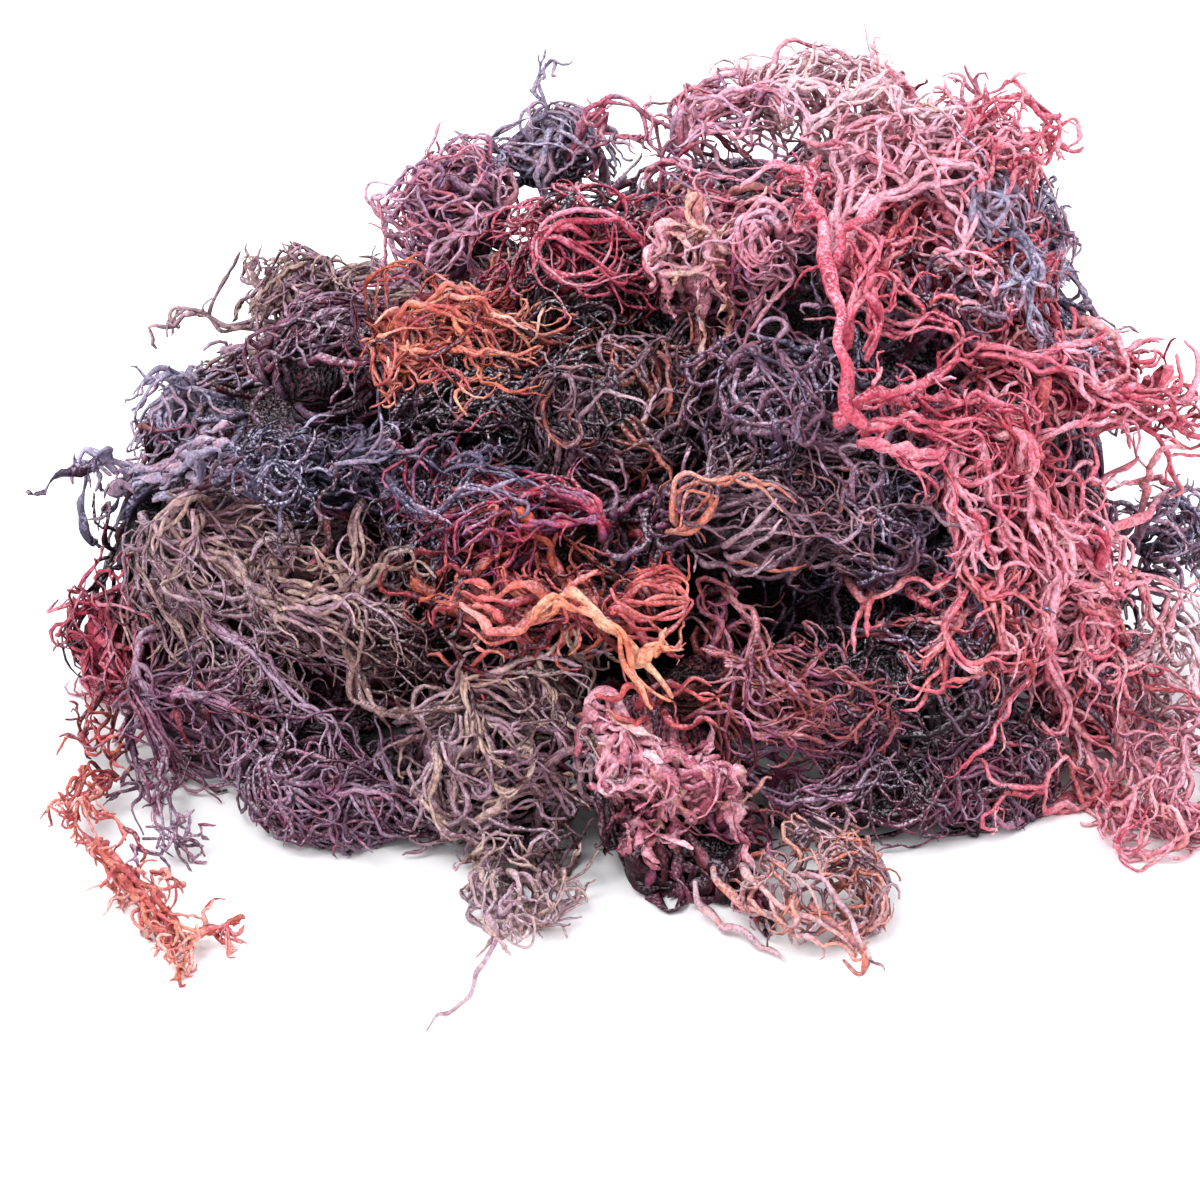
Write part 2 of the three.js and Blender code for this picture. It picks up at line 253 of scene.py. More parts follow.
def grow(start, heading, length, steps, nature, pull, rng):
    """Paths of strands that creep over the skin. Each step turns the heading about its own axis by a steady
    bend, a wave, a curl that grows towards the tip and a kink, then draws it to the plant's flow and to its
    own height over the skin, and moves on by an equal share of the length. Strands that follow each other
    in a lock share most of their bends. Returns an array of strand, step and coordinate."""
    count = len(start)
    lock = nature["lock"]

    def drawn(size):
        """Random values for each strand, near those of its lock."""
        shared = np.repeat(rng.normal(size=(-(-count // lock), size)), lock, axis=0)[:count]
        return SHARED * shared + OWN * rng.normal(size=(count, size))

    path = np.empty((count, steps + 1, 3))
    path[:, 0] = start
    stride = (length / steps)[:, None]
    bend = nature["bend"] * drawn(1)
    wave = nature["wave"] * (0.9 + 0.35 * drawn(1))
    beat = 2 * np.pi / (nature["beat"] * np.clip(1 + 0.25 * drawn(1), 0.5, 1.6))
    phase = 2.2 * drawn(1)
    curl = nature["curl"] * drawn(1)
    tilt = nature["tilt"] * drawn(3)
    height = nature["height"] + nature["layers"] * rng.uniform(-1, 1, count)
    arch = nature["arch"] * rng.random(count)
    for k in range(steps):
        here = path[:, k]
        s = k / steps
        over, normal = skin(here)
        side = unit(np.cross(unit(normal + tilt), heading))
        turn = bend + wave * np.sin(beat * s * length[:, None] + phase) + curl * s**2
        kink = nature["kink"] * rng.normal(size=(count, 3))
        heading = unit(heading + turn * stride * side + kink)
        flow = pull(here, normal)
        heading = unit(heading + nature["follow"] * stride * (flow - heading))
        aim = height + arch * math.sin(math.pi * s)
        rise = np.clip((aim - over) / RISE_OVER, -STEEPEST, STEEPEST)[:, None]
        off = (heading * normal).sum(axis=1, keepdims=True)
        heading = unit(heading + np.minimum(nature["cling"] * stride, 1) * (rise - off) * normal)
        path[:, k + 1] = here + stride * heading
        path[:, k + 1, 2] = np.maximum(path[:, k + 1, 2], nature["radius"] + 0.2)
    return path


def length_of(paths):
    """The length of all the paths together."""
    return np.linalg.norm(np.diff(paths, axis=1), axis=2).sum()


def shoots(families, count, low, high, spread, rng):
    """Where side branches leave their parents, and their headings: points at random shares of the parents'
    length from low to high, with the parent's heading leant to a random side by the spread. Each family of
    parents bears by its whole length."""
    lengths = np.array([length_of(family) for family in families])
    starts, headings = [], []
    for family, number in zip(families, np.ceil(count * lengths / lengths.sum()).astype(int)):
        steps = family.shape[1] - 1
        pick = rng.integers(len(family), size=number)
        share = rng.uniform(low, high, number) * steps
        k = np.minimum(share.astype(int), steps - 1)
        a, b = family[pick, k], family[pick, k + 1]
        lean = spread * unit(rng.normal(size=(number, 3))) * rng.uniform(0.6, 1.2, (number, 1))
        starts.append(a + (share - k)[:, None] * (b - a))
        headings.append(unit(unit(b - a) + lean))
    return np.concatenate(starts), np.concatenate(headings)


def tubes(path, radius, sides, nature, up, rng):
    """Closed tubes along paths. Ring j of a tube lies square to its path, at centre + r f (cos a u / flat +
    sin a w flat) for a round the ring, with u turned along the path by the twist, and the flute f standing
    for ridges that run along the tube and fade in and out. Both ends close on a point. Returns the points,
    the four-cornered and three-cornered faces, and each point's share of the tube's length."""
    flat = nature["flat"]
    count, rings = path.shape[:2]
    ahead = unit(np.gradient(path, axis=1))
    u = np.empty_like(path)
    u[:, 0] = unit(up - (up * ahead[:, 0]).sum(1, keepdims=True) * ahead[:, 0])
    for j in range(1, rings):
        u[:, j] = unit(u[:, j - 1] - (u[:, j - 1] * ahead[:, j]).sum(1, keepdims=True) * ahead[:, j])
    s = np.linspace(0, 1, rings)[:, None]
    twist = nature["twist"] * rng.normal(size=(count, 1, 1)) * s
    w = np.cross(ahead, u)
    u, w = np.cos(twist) * u + np.sin(twist) * w, np.cos(twist) * w - np.sin(twist) * u
    a = 2 * np.pi * np.arange(sides) / sides
    across = np.cos(a)[:, None] * u[:, :, None] / flat + np.sin(a)[:, None] * w[:, :, None] * flat
    beats, starts = rng.uniform(0.5, 3, (count, 1, sides)), rng.random((count, 1, sides))
    flute = 1 + nature["flute"] * np.sin(2 * np.pi * (beats * s + starts))
    ring = path[:, :, None] + (radius[..., None] * flute)[..., None] * across
    ends = path[:, [0, -1]] + np.stack([-ahead[:, 0], ahead[:, -1]], axis=1) * radius[:, [0, -1], None]
    points = np.concatenate([ring.reshape(count, -1, 3), ends], axis=1)
    j, k = np.meshgrid(np.arange(rings - 1), np.arange(sides), indexing="ij")
    here, there = j * sides + k, j * sides + (k + 1) % sides
    quads = np.stack([here, there, there + sides, here + sides], axis=-1).reshape(-1, 4)
    k = np.arange(sides)
    last = (rings - 1) * sides
    back = np.stack([0 * k + rings * sides, (k + 1) % sides, k], axis=-1)
    front = np.stack([0 * k + rings * sides + 1, last + k, last + (k + 1) % sides], axis=-1)
    shift = np.arange(count)[:, None, None] * points.shape[1]
    faces4 = (quads + shift).reshape(-1, 4)
    faces3 = (np.concatenate([back, front]) + shift).reshape(-1, 3)
    along = np.concatenate([np.repeat(np.linspace(0, 1, rings), sides), [0, 1]])
    return points.reshape(-1, 3), faces4, faces3, np.tile(along, count)


KNOBS = 0.18  # how much a strand swells and narrows along its length


def tapered(radius, rings, thin, rng):
    """Radii along strands: they thin from the root to that share at the tip, thicken where they fork off,
    and swell by the knobs' share here and there."""
    s = np.linspace(0, 1, rings)
    beats, starts = rng.uniform(2, 5, (len(radius), 1)), rng.random((len(radius), 1))
    swell = 1 + KNOBS * np.sin(2 * np.pi * (s * beats + starts))
    ends = 1 - 0.4 * (s**12 + (1 - s) ** 12)
    return radius[:, None] * (1 - (1 - thin) * s**1.5) * (1 + 0.3 * np.exp(-10 * s)) * swell * ends


KINDS = ("along", "tone", "tint", "light_reach")  # what the materials read at a point
OFF_FLOOR = 0.05  # the lowest that anything lies


class Plant:
    """The surfaces of one tuft, gathered until they become its mesh."""

    def __init__(self, node):
        self.node = node
        self.parts = []
        self.size = 0

    def add(self, points, faces4, faces3, along, tone, tint, light_reach):
        """Adds a surface. along is each point's share of its strand's length, tone and tint pick its
        colour, and the light's reach is 0 for what lies deep in the heap and 1 where the light reaches;
        the materials darken the colour by it, as painted shade."""
        self.parts.append((points, faces4 + self.size, faces3 + self.size, along, tone, tint, light_reach))
        self.size += len(points)

    def mesh(self):
        """One mesh of all the surfaces, smooth, with what the materials read kept at its points."""
        points, faces4, faces3, *looks = (np.concatenate(part) for part in zip(*self.parts))
        points[:, 2] = np.maximum(points[:, 2], OFF_FLOOR)
        mesh = bpy.data.meshes.new(self.node + "_growth")
        mesh.vertices.add(len(points))
        mesh.vertices.foreach_set("co", (points * MM).astype(np.float32).ravel())
        corners = np.concatenate([faces4.ravel(), faces3.ravel()])
        mesh.loops.add(len(corners))
        mesh.loops.foreach_set("vertex_index", corners.astype(np.int32))
        starts = np.concatenate([4 * np.arange(len(faces4)), 4 * len(faces4) + 3 * np.arange(len(faces3))])
        mesh.polygons.add(len(starts))
        mesh.polygons.foreach_set("loop_start", starts.astype(np.int32))
        for kind, values in zip(KINDS, looks):
            kept = mesh.attributes.new(kind, "FLOAT", "POINT")
            kept.data.foreach_set("value", values.astype(np.float32))
        mesh.update(calc_edges=True)
        mesh.shade_smooth()
        return mesh


HEART_STEP = 6  # between the points of a heart
HEART_RELIEF = 1.5  # how high its ridges stand
HEART_RIDGES = (11, 7)  # how far apart they are, coarse and fine
HEART_DARK = (11, 12)  # how deep the light reaches into a heart, and over what depth it fades
MATTED = -1  # the share along a strand that marks a heart, which has none


def light_reach_at(points, depth, fade):
    """How much light reaches points: none at that depth under the skin, rising to 1 over the fade.
    The materials paint shade into the colour by it.
    """
    return np.clip((skin(points)[0] + depth) / fade, 0, 1)


def heart(plant, ball, depth, tone, tint):
    """The matted inside of a tuft: a ball grid, of a point (sin v cos u, sin v sin u, cos v) for each u and
    v, stretched to the tuft's sizes, less the depth, with ridges where a rippled field is high, like
    branches pressed together. What would stand out of the skin is drawn in under it. Each pole closes on
    one point."""
    centre, shrink = ball
    stretch = np.linalg.inv(shrink)
    size = np.linalg.norm(stretch, axis=0).mean()
    turns = max(10, int(2 * np.pi * size / HEART_STEP))
    rows = max(6, turns // 2)
    v, u = np.meshgrid(np.arange(rows) + 0.5, np.arange(turns), indexing="ij")
    v, u = np.pi * v / rows, 2 * np.pi * u / turns
    way = np.stack([np.sin(v) * np.cos(u), np.sin(v) * np.sin(u), np.cos(v)], axis=-1).reshape(-1, 3)
    way = np.concatenate([way, [[0, 0, 1], [0, 0, -1]]])
    points = way @ stretch.T
    coarse, fine = HEART_RIDGES
    ridges = np.abs(ripple(points + centre, coarse)) + 0.6 * np.abs(ripple(points - centre, fine))
    points = points * np.maximum(1 - depth / np.linalg.norm(points, axis=1, keepdims=True), 0.1)
    points = points + unit(points) * HEART_RELIEF * ridges[:, None] + centre
    over, normal = skin(points)
    points = points - np.maximum(over + depth, 0)[:, None] * normal
    j, k = np.meshgrid(np.arange(rows - 1), np.arange(turns), indexing="ij")
    here, there = j * turns + k, j * turns + (k + 1) % turns
    quads = np.stack([here, here + turns, there + turns, there], axis=-1).reshape(-1, 4)
    k = np.arange(turns)
    top = np.stack([0 * k + rows * turns, k, (k + 1) % turns], axis=-1)
    last = (rows - 1) * turns
    bottom = np.stack([0 * k + rows * turns + 1, last + (k + 1) % turns, last + k], axis=-1)
    one = np.ones(len(points))
    # Painted shade: the heart's colour is darkened by its depth under the skin.
    light_reach = light_reach_at(points, *HEART_DARK)
    plant.add(points, quads, np.concatenate([top, bottom]), MATTED * one, tone * one, tint * one, light_reach)


# Natures of growth: what the branches of a plant do. A kind of strand has its radius, length, steps and
# sides. Radii, lengths, beats and heights are in millimetres, and bends, waves and curls are in radians that
# the heading turns by in a millimetre. A lock is how many strands run side by side.
CURLY = {
    "mat": (1.2, 32, 9, 3), "stem": (0.95, 38, 15, 3), "branch": (0.64, 26, 12, 3), "twig": (0.44, 9, 5, 3),
    "bend": 0.03, "wave": 0.27, "beat": 10, "curl": 0.42, "tilt": 0.6, "kink": 0.24, "follow": 0.03,
    "cling": 0.3, "height": -1.0, "layers": 2.3, "arch": 2.5, "lock": 2,
    "flat": 1.2, "twist": 2.0, "flute": 0.22,
}
KNOTTED = {
    **CURLY, "stem": (0.9, 26, 13, 3), "branch": (0.62, 22, 13, 3), "twig": (0.42, 9, 6, 3),
    "bend": 0.06, "wave": 0.3, "beat": 9, "curl": 0.55, "tilt": 0.8, "kink": 0.26, "follow": 0.01, "lock": 1,
}
COMBED = {
    **CURLY, "stem": (0.85, 52, 17, 3), "branch": (0.58, 40, 15, 3), "twig": (0.4, 12, 6, 3),
    "bend": 0.02, "wave": 0.19, "beat": 12, "curl": 0.36, "tilt": 0.5, "kink": 0.19, "follow": 0.06,
    "layers": 2.6, "arch": 3.0, "lock": 3,
}
WEBBED = {
    **CURLY, "stem": (1.15, 42, 16, 5), "branch": (0.74, 30, 14, 3), "twig": (0.48, 10, 6, 3),
    "bend": 0.03, "wave": 0.26, "beat": 10.5, "curl": 0.46, "tilt": 0.6, "kink": 0.22, "follow": 0.05,
    "cling": 0.22, "height": -0.3, "layers": 3.0, "arch": 4.0, "flat": 1.3, "lock": 1,
}
AIRY = {
    **WEBBED, "stem": (0.95, 44, 16, 4), "branch": (0.62, 32, 14, 3), "twig": (0.44, 11, 6, 3),
    "wave": 0.18, "beat": 13, "tilt": 0.9, "cling": 0.13, "height": -3.0, "layers": 5.2, "arch": 3.6,
    "flat": 1.15,
}
BLADED = {
    **CURLY, "stem": (1.4, 32, 15, 6), "branch": (0.85, 24, 14, 5), "twig": (0.5, 9, 6, 3),
    "bend": 0.05, "wave": 0.28, "beat": 10, "curl": 0.3, "tilt": 0.8, "kink": 0.22, "lock": 1,
    "flat": 2.05, "twist": 4.0, "flute": 0.3,
}
THICK = {"stem": (1.4, 42, 14, 4), "branch": (1.0, 29, 11, 3), "twig": (0.55, 10, 5, 3)}

# How twigs and matted strands grow otherwise than the rest of their plant.
SPRINGY = {
    "wave": 0.3, "beat": 9, "curl": 0.85, "tilt": 1.0, "follow": 0.0, "cling": 0.12, "height": 1.5,
    "lock": 1,
}
MATTING = {"height": -4.0, "layers": 1.0, "arch": 0.0, "lock": 1}

WANDER_LENGTH = 26  # how far on a plant's branches have turned another way


def flow_of(ball, heading, fan, swirl, wander):
    """The way a plant's branches run: the sum of one heading over the whole tuft, in degrees from the
    right, a fan away from its root and a swirl about its middle, turned from place to place by a ripple,
    laid along the skin, and turned home at the tuft's edge."""
    centre, shrink = ball
    main = math.cos(math.radians(heading)) * right + math.sin(math.radians(heading)) * screen_up
    extent = np.linalg.norm(np.linalg.inv(shrink) @ main)
    root = centre - 0.8 * extent * main

    def flow(points, normal):
        """The way of the branches at each point of the skin, whose normal there is given."""
        way = (1 - fan) * main + fan * unit(points - root)
        way = way * (1 - abs(swirl)) + swirl * np.cross(toward_eye, unit(points - centre))
        way = way - (way * normal).sum(axis=1, keepdims=True) * normal
        turn = wander * ripple(points, WANDER_LENGTH)[:, None]
        way = np.cos(turn) * unit(way) + np.sin(turn) * np.cross(normal, unit(way))
        reach = np.linalg.norm((points - centre) @ shrink.T, axis=1, keepdims=True)
        home = np.clip(3 * (reach - 1.05), 0, 1.5)
        return way + home * unit(centre - points)

    return flow


STRAND_DARK = (6.5, 8)  # how deep the light reaches between strands, and over what depth it fades
THIN = {"mat": 0.7, "stem": 0.6, "branch": 0.6, "twig": 0.65}  # a tip's radius, in its root's


def creep(plant, nature, kind, start, heading, flow, tone, tint, rng, scale=1.0, thin=None):
    """Grows strands of one kind from their starts, adds their tubes to the plant and returns their paths."""
    radius, length, steps, sides = nature[kind]
    count = len(start)
    lengths = scale * length * rng.uniform(0.55, 1.3, count)
    path = grow(start, heading, lengths, steps, {**nature, "radius": radius}, flow, rng)
    radii = tapered(radius * rng.uniform(0.75, 1.3, count), steps + 1, thin or THIN[kind], rng)
    points, faces4, faces3, along = tubes(path, radii, sides, nature, skin(path[:, 0])[1], rng)
    each = len(points) // count
    tones = np.repeat(tone + rng.normal(0, 0.18, count), each)
    tints = np.repeat(tint + rng.normal(0, 0.28, count), each)
    # Painted shade: strands are darkened by their depth under the skin.
    plant.add(points, faces4, faces3, along, tones, tints, light_reach_at(points, *STRAND_DARK))
    return path


STALK_STEPS = 28
STALK_SIDES = 4  # of each ply
SINGLE_SIDES = 7  # of a stalk of one ply
STALK_FLAT = 1.12  # how much wider than thick
STALK_THIN = 0.55  # its tip's radius, in its root's
STALK_PLIES = 3  # strands that a stalk is grown together from
PLY_SHARE = 0.62  # a ply's radius in its stalk's
STALK_FORKS = 0.12  # side branches to a millimetre of stalk
FORK_SCALE = 0.75  # their length, in other branches'
STALK_SWAY = 0.75  # how far a ply strays from its course, about once in each beat
STALK_BEAT = 10
ROOT_DIP = 6  # how deep a stalk's root lies under its course
DIP_FADE = 0.05  # the share of its length in which it comes up again


def curve_through(course, steps):
    """A smooth curve through given points, at even shares of its course. From point b to point c it
    is the cubic whose direction at b is that from the point before it to c, and at c that from b to the
    point after it."""
    course = np.asarray(course, float)
    ends = np.concatenate([[2 * course[0] - course[1]], course, [2 * course[-1] - course[-2]]])
    t = np.linspace(0, len(course) - 1, steps + 1)
    k = np.minimum(t.astype(int), len(course) - 2)
    t = (t - k)[:, None]
    a, b, c, d = ends[k], ends[k + 1], ends[k + 2], ends[k + 3]
    return b + t / 2 * (c - a + t * (2 * a - 5 * b + 4 * c - d + t * (3 * b - a - 3 * c + d)))


VIEW_SPAN = 260  # how far before and behind the view's target the heap is searched along a ray
EVENINGS = 2  # times that the depths of a course are evened out


def laid(pixels, lift):
    """The points of the heap behind pixels of the photograph. Each pixel's ray is followed in steps of 1 mm
    until it comes within the lift of the skin, or ends where it passes nearest to it, and a course's depths
    are then evened out from point to point."""
    forward = -toward_eye
    eye = np.array(VIEW_TARGET) / MM - VIEW_DISTANCE / MM * forward
    offset = np.array(pixels, float) - PHOTO_WIDTH / 2
    way = unit(forward * VIEW_DISTANCE / PIXEL + offset[:, :1] * right - offset[:, 1:] * screen_up)
    reach = VIEW_DISTANCE / MM + np.arange(-VIEW_SPAN, VIEW_SPAN)
    line = eye + reach[:, None] * way[:, None]
    height = skin(line)[0]
    inside = (height < lift) | (line[..., 2] < lift)
    depth = reach[np.where(inside.any(axis=1), inside.argmax(axis=1), height.argmin(axis=1))]
    for _ in range(EVENINGS):
        padded = np.pad(depth, 1, mode="edge")
        depth = (padded[:-2] + 2 * padded[1:-1] + padded[2:]) / 4
    return eye + depth[:, None] * way


def oval(centre, half_size, start, end, count):
    """Pixels on an ellipse, at even angles a from start to end: centre + half size (cos a, -sin a)."""
    (x, y), (width, height) = centre, half_size
    return [(x + width * math.cos(a), y - height * math.sin(a)) for a in np.linspace(start, end, count)]


def plied(stalks, plies, parting, rng):
    """The strands of listed stalks. A stalk is its radius, its lift over the skin and the pixels of
    its course, or, where the lift is None, points in millimetres. Its plies wind slowly about it, at r (1.3
    cos a u + 0.7 sin a w), flat to the view, part from each other now and then and towards the tip, by the
    parting, sway, and dip under the heap at the root. Returns their paths and radii."""
    courses = [course if lift is None else laid(course, lift) for _, lift, *course in stalks]
    path = np.repeat(np.stack([curve_through(course, STALK_STEPS) for course in courses]), plies, axis=0)
    radius = np.repeat([row[0] for row in stalks], plies)
    s = np.linspace(0, 1, STALK_STEPS + 1)
    by_ply = rng.normal(size=(4, len(path), 1))
    a = 2 * np.pi * np.arange(len(path))[:, None] / plies
    a = a + 2.2 * by_ply[0] * s + 0.7 * np.sin(9 * s + 3 * by_ply[1])
    opened = np.sin(2 * np.pi * s * (1.5 + 0.5 * by_ply[2]) + 3 * by_ply[3])
    apart = 0.5 + parting * (0.35 * opened + 1.4 * s**4)
    ahead = unit(np.gradient(path, axis=1))
    u = unit(np.cross(ahead, toward_eye))
    w = np.cross(ahead, u)
    off = (radius[:, None] * apart * (plies > 1))[..., None]
    path = path + off * (1.3 * np.cos(a)[..., None] * u + 0.7 * np.sin(a)[..., None] * w)
    shifts = 40 * rng.normal(size=(3, len(path), 1, 3))
    path = path + STALK_SWAY * np.stack([ripple(path + shift, STALK_BEAT) for shift in shifts], axis=-1)
    path = path - ROOT_DIP * np.exp(-s / DIP_FADE)[:, None] * skin(path[:, 0])[1][:, None]
    path[..., 2] = np.maximum(path[..., 2], 0.7 * radius[:, None])
    share = PLY_SHARE * rng.uniform(0.75, 1.2, len(path)) if plies > 1 else 1
    return path, radius * share


def stalk(plant, nature, stalks, plies, flow, tone, tint, forking, rng, parting=1.0):
    """Adds stalks to the plant, and the branches that fork off them, fewer from each ply where there are
    more. Tone and tint are pairs, for the branches and for the stalks. Returns the paths of both."""
    path, radius = plied(stalks, plies, parting, rng)
    up = np.tile(toward_eye, (len(path), 1))
    radii = tapered(radius, STALK_STEPS + 1, STALK_THIN, rng)
    sides = STALK_SIDES if plies > 1 else SINGLE_SIDES
    points, faces4, faces3, along = tubes(path, radii, sides, {**nature, "flat": STALK_FLAT}, up, rng)
    each = len(points) // len(path)
    tones = np.repeat(tone[1] + rng.normal(0, 0.09, len(path)), each)
    tints = np.repeat(tint[1] + rng.normal(0, 0.12, len(path)), each)
    plant.add(points, faces4, faces3, along, tones, tints, np.ones(len(points)))
    if not forking:
        return [path]
    count = int(forking * STALK_FORKS * length_of(path) * 3 / (plies + 2))
    forked = shoots([path], count, 0.08, 1.0, 0.6, rng)
    lifted = {**nature, "lock": 1, "height": nature["height"] + 1.5, "cling": 0.6 * nature["cling"]}
    return [path, creep(plant, lifted, "branch", *forked, flow, tone[0] + 0.06, tint[0], rng, FORK_SCALE)]


# How much area strands of a kind cover, to one of the plant's outside, and how deep under it they start.
COVER = {"mat": 0.9, "stem": 0.28, "branch": 1.5, "twig": 0.36}
SINK = {"mat": 5, "stem": 4, "branch": 5}
HOLLOW = 0.25  # share of the growth in the hollows, which light hardly reaches
FACING_AWAY = 0.4  # share of the growth on what faces away from the view
MEAN_WIDTH = 1.5  # a strand's mean width, in its radii
SEED_SPREAD = 0.45  # how far a new strand's heading strays from the flow
FORK_THIN = 0.55  # a tip's radius, in its root's, on branches that fork off stems


def tuft(node, nature, heading=0, fan=0.3, swirl=0.0, wander=0.7, tone=0.5, tint=0.2, cover=1.0, depth=6.0,
         scale=1.0, stalks=None, stalk_tone=None, stalk_tint=None, forking=1.0, plies=STALK_PLIES,
         parting=1.0, ribs=None):
    """Grows the plant of one solid: a dark mat about its heart, stems from all over its outside, branches
    from the stems and from between them, and twigs from the branches. Its stalks fork, its ribs don't, and
    each bears twigs. The heart lies at the depth, and a plant with no depth has none."""
    rng = np.random.default_rng(list(node.encode()))
    plant = Plant(node)
    points, normals, open_share = outside[node]
    facing = np.clip((normals @ toward_eye + 0.25) / 0.5, 0, 1)
    share = (FACING_AWAY + (1 - FACING_AWAY) * facing) * np.clip(2 * open_share - 0.3, HOLLOW, 1)
    flow = flow_of(balls[node], heading, fan, swirl, wander)
    across = 2 * np.linalg.norm(np.linalg.inv(balls[node][1]), axis=0).mean()
    scale = scale * min(max(across / nature["branch"][1], 0.5), 1.1)

    def number(kind, parts=1):
        """How many strands of a kind it takes to cover its area, or one of that many parts of it."""
        radius, length = nature[kind][:2]
        area = COVER[kind] / parts * cover * share.sum() * SAMPLE_AREA
        return max(int(area / (MEAN_WIDTH * radius * length * scale)), 2)

    def seeds(kind, parts=1, lock=1):
        """Where so many strands start, lock by lock, and their headings."""
        count = number(kind, parts)
        pick = np.repeat(rng.choice(len(points), -(-count // lock), p=share / share.sum()), lock)[:count]
        ways = flow(points[pick], normals[pick]) + SEED_SPREAD * rng.normal(size=(count, 3))
        aside = (lock > 1) * rng.normal(size=(count, 3))
        return points[pick] - SINK[kind] * normals[pick] + aside, unit(ways)

    def grown(kind, own, where, brighter=0.0, size=scale, thin=None):
        """Strands of a kind, whose own nature stands before the plant's."""
        strands = {**nature, **own}
        return creep(plant, strands, kind, *where, flow, tone + brighter, tint, rng, size, thin)

    if depth is not None:
        heart(plant, balls[node], depth, tone - 0.05, tint)
        # The mat's tone is 0.12 lower: partly the darker colour of older branches, partly painted shade deep
        # in the heap.
        grown("mat", MATTING, seeds("mat"), -0.12, 1.0)
    stems = grown("stem", {}, seeds("stem"))
    loose = grown("branch", {}, seeds("branch", 2, nature["lock"]))
    forked = shoots([stems], number("branch", 2), 0.05, 0.95, 0.7, rng)
    families = [loose, grown("branch", {"lock": 1}, forked, thin=FORK_THIN)]
    if stalks:
        tones = (tone, tone + 0.12 if stalk_tone is None else stalk_tone)
        tints = (tint, tint if stalk_tint is None else stalk_tint)
        families += stalk(plant, nature, stalks, plies, flow, tones, tints, forking, rng, parting)
    if ribs:
        families += stalk(plant, nature, ribs, 1, flow, (tone, tone + 0.1), (tint, tint), 0, rng)
    grown("twig", SPRINGY, shoots(families, number("twig"), 0.15, 1.0, 1.0, rng), 0.05)
    return plant


def piece(plant, slot):
    """Makes the plant one object that stands for its solid."""
    made = bpy.data.objects.new(plant.node + "_growth", plant.mesh())
    made.data.materials.append(finish[slot])
    bpy.context.scene.collection.objects.link(made)
    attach(made, "root")
    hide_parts(plant.node)


def linear(code):
    """A colour written as six hexadecimal digits, as the shader wants it: each channel to the power 2.2."""
    return tuple((int(code[i : i + 2], 16) / 255) ** 2.2 for i in (0, 2, 4)) + (1.0,)


def group(name, inputs, outputs):
    """An empty shader group with those inputs, as name to default value, and outputs, all numbers."""
    made = bpy.data.node_groups.new(name, "ShaderNodeTree")
    for title, value in inputs.items():
        socket = made.interface.new_socket(title, in_out="INPUT", socket_type="NodeSocketFloat")
        socket.default_value = value
    for title in outputs:
        made.interface.new_socket(title, in_out="OUTPUT", socket_type="NodeSocketFloat")
    return made, made.nodes.new("NodeGroupInput"), made.nodes.new("NodeGroupOutput")


def wired(tree, kind, settings=None, **inputs):
    """A node of that kind, with its settings, and its inputs, by name or as i and a number, set to values
    or linked from sockets."""
    made = tree.nodes.new(kind)
    for key, value in (settings or {}).items():
        setattr(made, key, value)
    for key, value in inputs.items():
        numbered = key[0] == "i" and key[1:].isdigit()
        socket = made.inputs[int(key[1:])] if numbered else made.inputs[key.replace("_", " ")]
        if isinstance(value, bpy.types.NodeSocket):
            tree.links.new(value, socket)
        else:
            socket.default_value = value
    return made


def math_node(tree, operation, a, b=0.0, c=0.0, clamp=False):
    """The value of a, b and c put through one operation."""
    settings = {"operation": operation, "use_clamp": clamp}
    return wired(tree, "ShaderNodeMath", settings, i0=a, i1=b, i2=c).outputs[0]


def remap(tree, value, low, high, to_low=0.0, to_high=1.0):
    """The value carried evenly from between low and high to between two others, held at them outside."""
    return wired(tree, "ShaderNodeMapRange", i0=value, i1=low, i2=high, i3=to_low, i4=to_high).outputs[0]


def cloud(tree, place, scale, detail, roughness=0.5):
    """A cloudy noise over the place, from 0 to 1."""
    made = wired(tree, "ShaderNodeTexNoise", Vector=place, Scale=scale, Detail=detail, Roughness=roughness)
    return made.outputs["Fac"]


def place_in(tree):
    """The place on the object, in metres."""
    return wired(tree, "ShaderNodeTexCoord").outputs["Object"]


# Salt and dust that dried on the upper sides, with painted highlights in it: pale, patchy, and thickest
# where a strand faces up towards the light.
salt_and_glint, salt_and_glint_in, salt_and_glint_out = group("salt_dust_and_glint", {"Amount": 0.5, "Grain": 1300.0}, ["Mask"])
place = place_in(salt_and_glint)
normal = wired(salt_and_glint, "ShaderNodeNewGeometry").outputs["Normal"]
upward = wired(salt_and_glint, "ShaderNodeSeparateXYZ", i0=normal).outputs["Z"]
grains = remap(salt_and_glint, cloud(salt_and_glint, place, salt_and_glint_in.outputs["Grain"], 3.0), 0.47, 0.6)
patches = remap(salt_and_glint, cloud(salt_and_glint, place, 55.0, 2.0), 0.37, 0.6, 0.15)
mask = math_node(salt_and_glint, "MULTIPLY", patches, grains)
mask = math_node(salt_and_glint, "MULTIPLY", mask, remap(salt_and_glint, upward, 0.0, 1.0))
mask = math_node(salt_and_glint, "MULTIPLY", mask, salt_and_glint_in.outputs["Amount"], clamp=True)
salt_and_glint.links.new(mask, salt_and_glint_out.inputs["Mask"])

# The dried surface of a strand: fine wrinkles along and round it, whose colour is painted darker in
# the hollows and lighter on the crests as painted shade and highlight, and blotches of deeper colour.
wrinkles_and_shade, wrinkles_and_shade_in, wrinkles_and_shade_out = group("dried_surface_and_shade", {"Blotch": 260.0, "Wrinkle": 1000.0}, ["Shade", "Height"])
place = place_in(wrinkles_and_shade)
blotch = cloud(wrinkles_and_shade, place, wrinkles_and_shade_in.outputs["Blotch"], 3.0)
wrinkle = cloud(wrinkles_and_shade, place, wrinkles_and_shade_in.outputs["Wrinkle"], 2.0)
